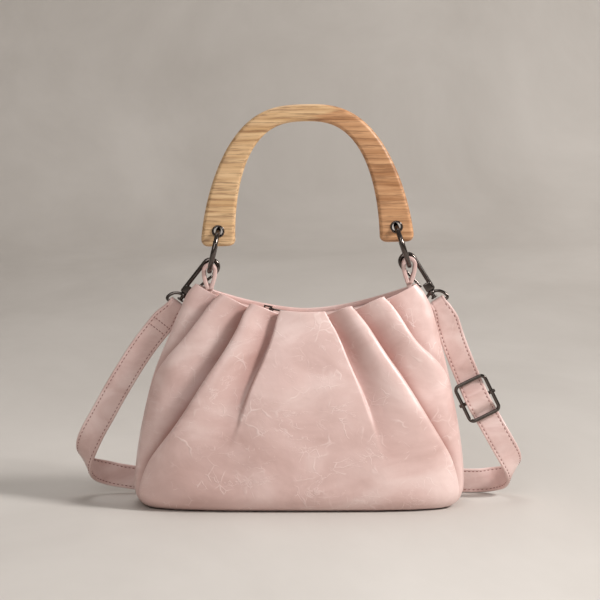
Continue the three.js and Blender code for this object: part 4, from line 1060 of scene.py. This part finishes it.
# The whole ribbon: back from the buckle to the right eye, round its bar, along the strap,
# round the left eye's bar and back over the fold.
def strapRibbon():
    start, end = strapSize["endGap"], track["length"] - strapSize["endGap"]
    parts = [
        strapRun(np.linspace(buckleArc, start, 90), backLayer),
        strapWrap(0.0, -1),
        strapRun(np.linspace(start, end, strapSize["stations"]), outerLayer),
        strapWrap(track["length"], 1),
        strapRun(np.linspace(end, track["length"] - strapSize["fold"], 30), foldLayer),
    ]
    centre, edge, width = (np.concatenate([part[k] for part in parts]) for k in (0, 1, 3))
    run = unit(np.gradient(centre, axis=0))
    edge = squared(edge, run)
    x, height = strapProfile(width)
    x = np.concatenate([x, x[:, -2:0:-1]], 1)
    height = np.concatenate([height, -height[:, -2:0:-1]], 1)
    return centre[:, None] + edge[:, None] * x[..., None] + np.cross(run, edge)[:, None] * height[..., None]


ribbon = strapRibbon()[:, ::-1]
makePiece("strap_ribbon", [closedTube(ribbon)], strapLeather, "bag", ["strap"])
print("strap made, %.0f mm from eye to eye" % track["length"])


# Stitches: one short capsule repeated at every place, lying along its own direction.
def stitchShape(places, along, out):
    u, v = np.linspace(-math.pi / 2, math.pi / 2, 7)[1:-1, None], around(6)
    lengthways = strapSize["stitchLength"] / 2 * np.sin(u) * (0.35 + 0.65 * np.abs(np.sin(u))) + 0 * v
    radius = strapSize["stitchRadius"] * np.cos(u) ** 0.4
    grid = np.stack([lengthways, radius * np.cos(v), radius * np.sin(v)], -1)
    return repeated(grid, places, np.stack([along, np.cross(out, along), out], 1))


def strapStitches():
    size = strapSize
    s = np.arange(size["stitchPitch"], track["length"] - size["stitchPitch"], size["stitchPitch"])
    centre, edge, face, width = strapRun(s, outerLayer)
    run = np.cross(edge, face)
    shapes = []
    for side in (-1, 1):
        for out in (-1, 1):
            place = centre + edge * (side * (width / 2 - size["stitchInset"]))[:, None]
            place = place + face * out * (size["thickness"] / 2 * 0.86)
            shapes.append(stitchShape(place, run, face * out))
    for back in (size["fold"] - 2, size["fold"] - 8):   # rows across the folded end at the left eye
        point, run, edge, face = stationAt(track["length"] - back)
        lift = outerLayer(track["length"] - back) + size["thickness"] / 2 * 1.02
        place = point + face * lift + edge * np.linspace(-5, 5, 5)[:, None]
        shapes.append(stitchShape(place, edge + 0 * place, face + 0 * place))
    return shapes


makePiece("strap_stitches", strapStitches(), threadPink, "bag")
print("stitches made")


# Buckle in the plane of the strap: a rounded frame and a pin curled round its sides

bucklePoint, buckleRun, buckleEdge, buckleFace = stationAt(buckleArc)


# The buckle's own frame is mirrored, so each grid is turned round to face outwards.
def buckleToBag(grid):
    x, y, z = (grid[:, ::-1, k:k + 1] for k in range(3))
    return bucklePoint + x * buckleEdge - z * buckleRun + y * buckleFace


def buckleShapes():
    size = buckleSize
    radius, quarter = size["corner"] - size["side"] / 2, math.pi / 2
    x, z = (size["width"] - size["side"]) / 2 - radius, (size["length"] - size["bar"]) / 2 - radius
    centres = enumerate(((x, z), (-x, z), (-x, -z), (x, -z)))
    path = np.concatenate([arc(*centre, radius, k * quarter, (k + 1) * quarter, 9) for k, centre in centres])
    return sweepFlat(path, size["bar"] / 2, size["thick"] / 2, 0.95, closed=True)


def pinShapes():
    size = buckleSize
    middle = (size["width"] - size["side"]) / 2
    x = np.linspace(2 - middle, middle - 2, 12)
    bar = sweepFlat(np.stack([x, 0 * x], -1), *[size["pin"]] * 3)
    shapes = [closedTube(buckleToBag(bar))]
    for sign in (-1, 1):
        angle = np.linspace(-math.pi, math.pi * 0.86, 26)
        path = np.stack([sign * (middle - size["curl"] * np.cos(angle + math.pi)), size["curl"] * np.sin(angle)], -1)
        curl = sweepFlat(path, 0.5, 1.1, 0.45)[:, ::-1][..., [0, 2, 1]]
        shapes.append(closedTube(buckleToBag(curl)))
    return shapes


metalPiece("buckle_frame_metal", [closedRing(buckleToBag(buckleShapes()))], "buckle_frame")
metalPiece("buckle_pin_metal", pinShapes(), "buckle_pin")
print("buckle made")


# Floor: a wide plain disc whose rim curves up into a wall all round

floorSize = {
    "flat": 2.4, "radius": 0.9, "height": 3.2, "steps": 72,
    "dark": (0.54, 0.508, 0.475), "pale": (0.65, 0.618, 0.585),
}


# Turns a profile round z: the flat floor, a quarter circle and the wall.
def floorSheet():
    size = floorSize
    curve = np.linspace(0, math.pi / 2, 20)
    out = np.concatenate([[0.001, 1], size["flat"] + size["radius"] * np.sin(curve), [size["flat"] + size["radius"]]])
    up = np.concatenate([[0, 0], size["radius"] * (1 - np.cos(curve)), [size["height"]]])
    turn = around(size["steps"])
    grid = np.stack([out[:, None] * np.cos(turn), out[:, None] * np.sin(turn), up[:, None] + 0 * turn], -1)
    return grid.reshape(-1, 3), gridFaces(len(out), size["steps"], closeColumns=True)[:, ::-1]


def floorMaterial():
    material, tree, shader = newMaterial("plaster")
    clouds = noise(tree, mapped(tree, (1, 0.4, 1)), 2.6, 6.0, 0.6, 0.4)
    colour = ramp(tree, clouds, [(0.32, floorSize["dark"]), (0.68, floorSize["pale"])])
    fillInputs(tree, shader, {"Base Color": colour, "Roughness": 0.85})
    return material


floorPoints, floorFaces = floorSheet()
floorMesh = bpy.data.meshes.new("floor")
floorMesh.from_pydata(floorPoints.tolist(), [], floorFaces.tolist())
floorMesh.shade_smooth()
floor = bpy.data.objects.new("floor", floorMesh)
bpy.context.scene.collection.objects.link(floor)
floorMesh.materials.append(floorMaterial())


# Light: a soft key from the right, a wide weak front light, one from above and one that
# falls on the wall behind the bag

lightSize = {
    "key": {"at": (1.2, -0.55, 1.0), "to": (0, 0, 0.12), "size": 0.36, "power": 24, "colour": (1.0, 0.975, 0.95)},
    "front": {"at": (-0.35, -1.7, 1.1), "to": (0, 0, 0.12), "size": 1.1, "power": 8.2, "colour": (1.0, 0.985, 0.975)},
    "top": {"at": (-0.1, 0.4, 1.5), "to": (0, 0, 0.12), "size": 0.8, "power": 5, "colour": (1.0, 0.98, 0.96)},
    "wall": {"at": (1.3, 1.2, 1.8), "to": (1.5, 3.2, 0.5), "size": 1.0, "power": 31, "colour": (1.0, 0.97, 0.94)},
}
roomSize = {"colour": (0.56, 0.535, 0.51), "strength": 0.5}


def aim(thing, target):
    x, y, z = np.array(target) - np.array(thing.location)
    thing.rotation_euler = (math.pi / 2 + math.atan2(z, math.hypot(x, y)), 0, math.atan2(y, x) - math.pi / 2)


for name, size in lightSize.items():
    light = bpy.data.lights.new(name, "AREA")
    light.shape, light.size = "DISK", size["size"]
    light.energy, light.color = size["power"], size["colour"]
    lamp = bpy.data.objects.new(name + "_light", light)
    lamp.location = size["at"]
    aim(lamp, size["to"])
    bpy.context.scene.collection.objects.link(lamp)
world = bpy.data.worlds.new("room")
bpy.context.scene.world = world
world.use_nodes = True
background = world.node_tree.nodes["Background"]
fillInputs(world.node_tree, background, {"Color": roomSize["colour"], "Strength": roomSize["strength"]})


# Camera: the photograph's place and angle, for a 600 by 600 picture

cameraSize = {
    "place": (0, -1.8, 0.33), "down": 5.73, "focalPixels": 2489, "picture": 600, "sensor": 36, "shiftPixels": 1,
}
cameraData = bpy.data.cameras.new("camera")
cameraData.sensor_width = cameraSize["sensor"]
cameraData.lens = cameraSize["focalPixels"] * cameraSize["sensor"] / cameraSize["picture"]
cameraData.shift_x = cameraSize["shiftPixels"] / cameraSize["picture"]
camera = bpy.data.objects.new("camera", cameraData)
camera.location = cameraSize["place"]
camera.rotation_euler = (math.pi / 2 - math.radians(cameraSize["down"]), 0, 0)
bpy.context.scene.collection.objects.link(camera)
bpy.context.scene.camera = camera
bpy.context.scene.view_settings.view_transform = "Standard"
print("stage, light and camera ready")
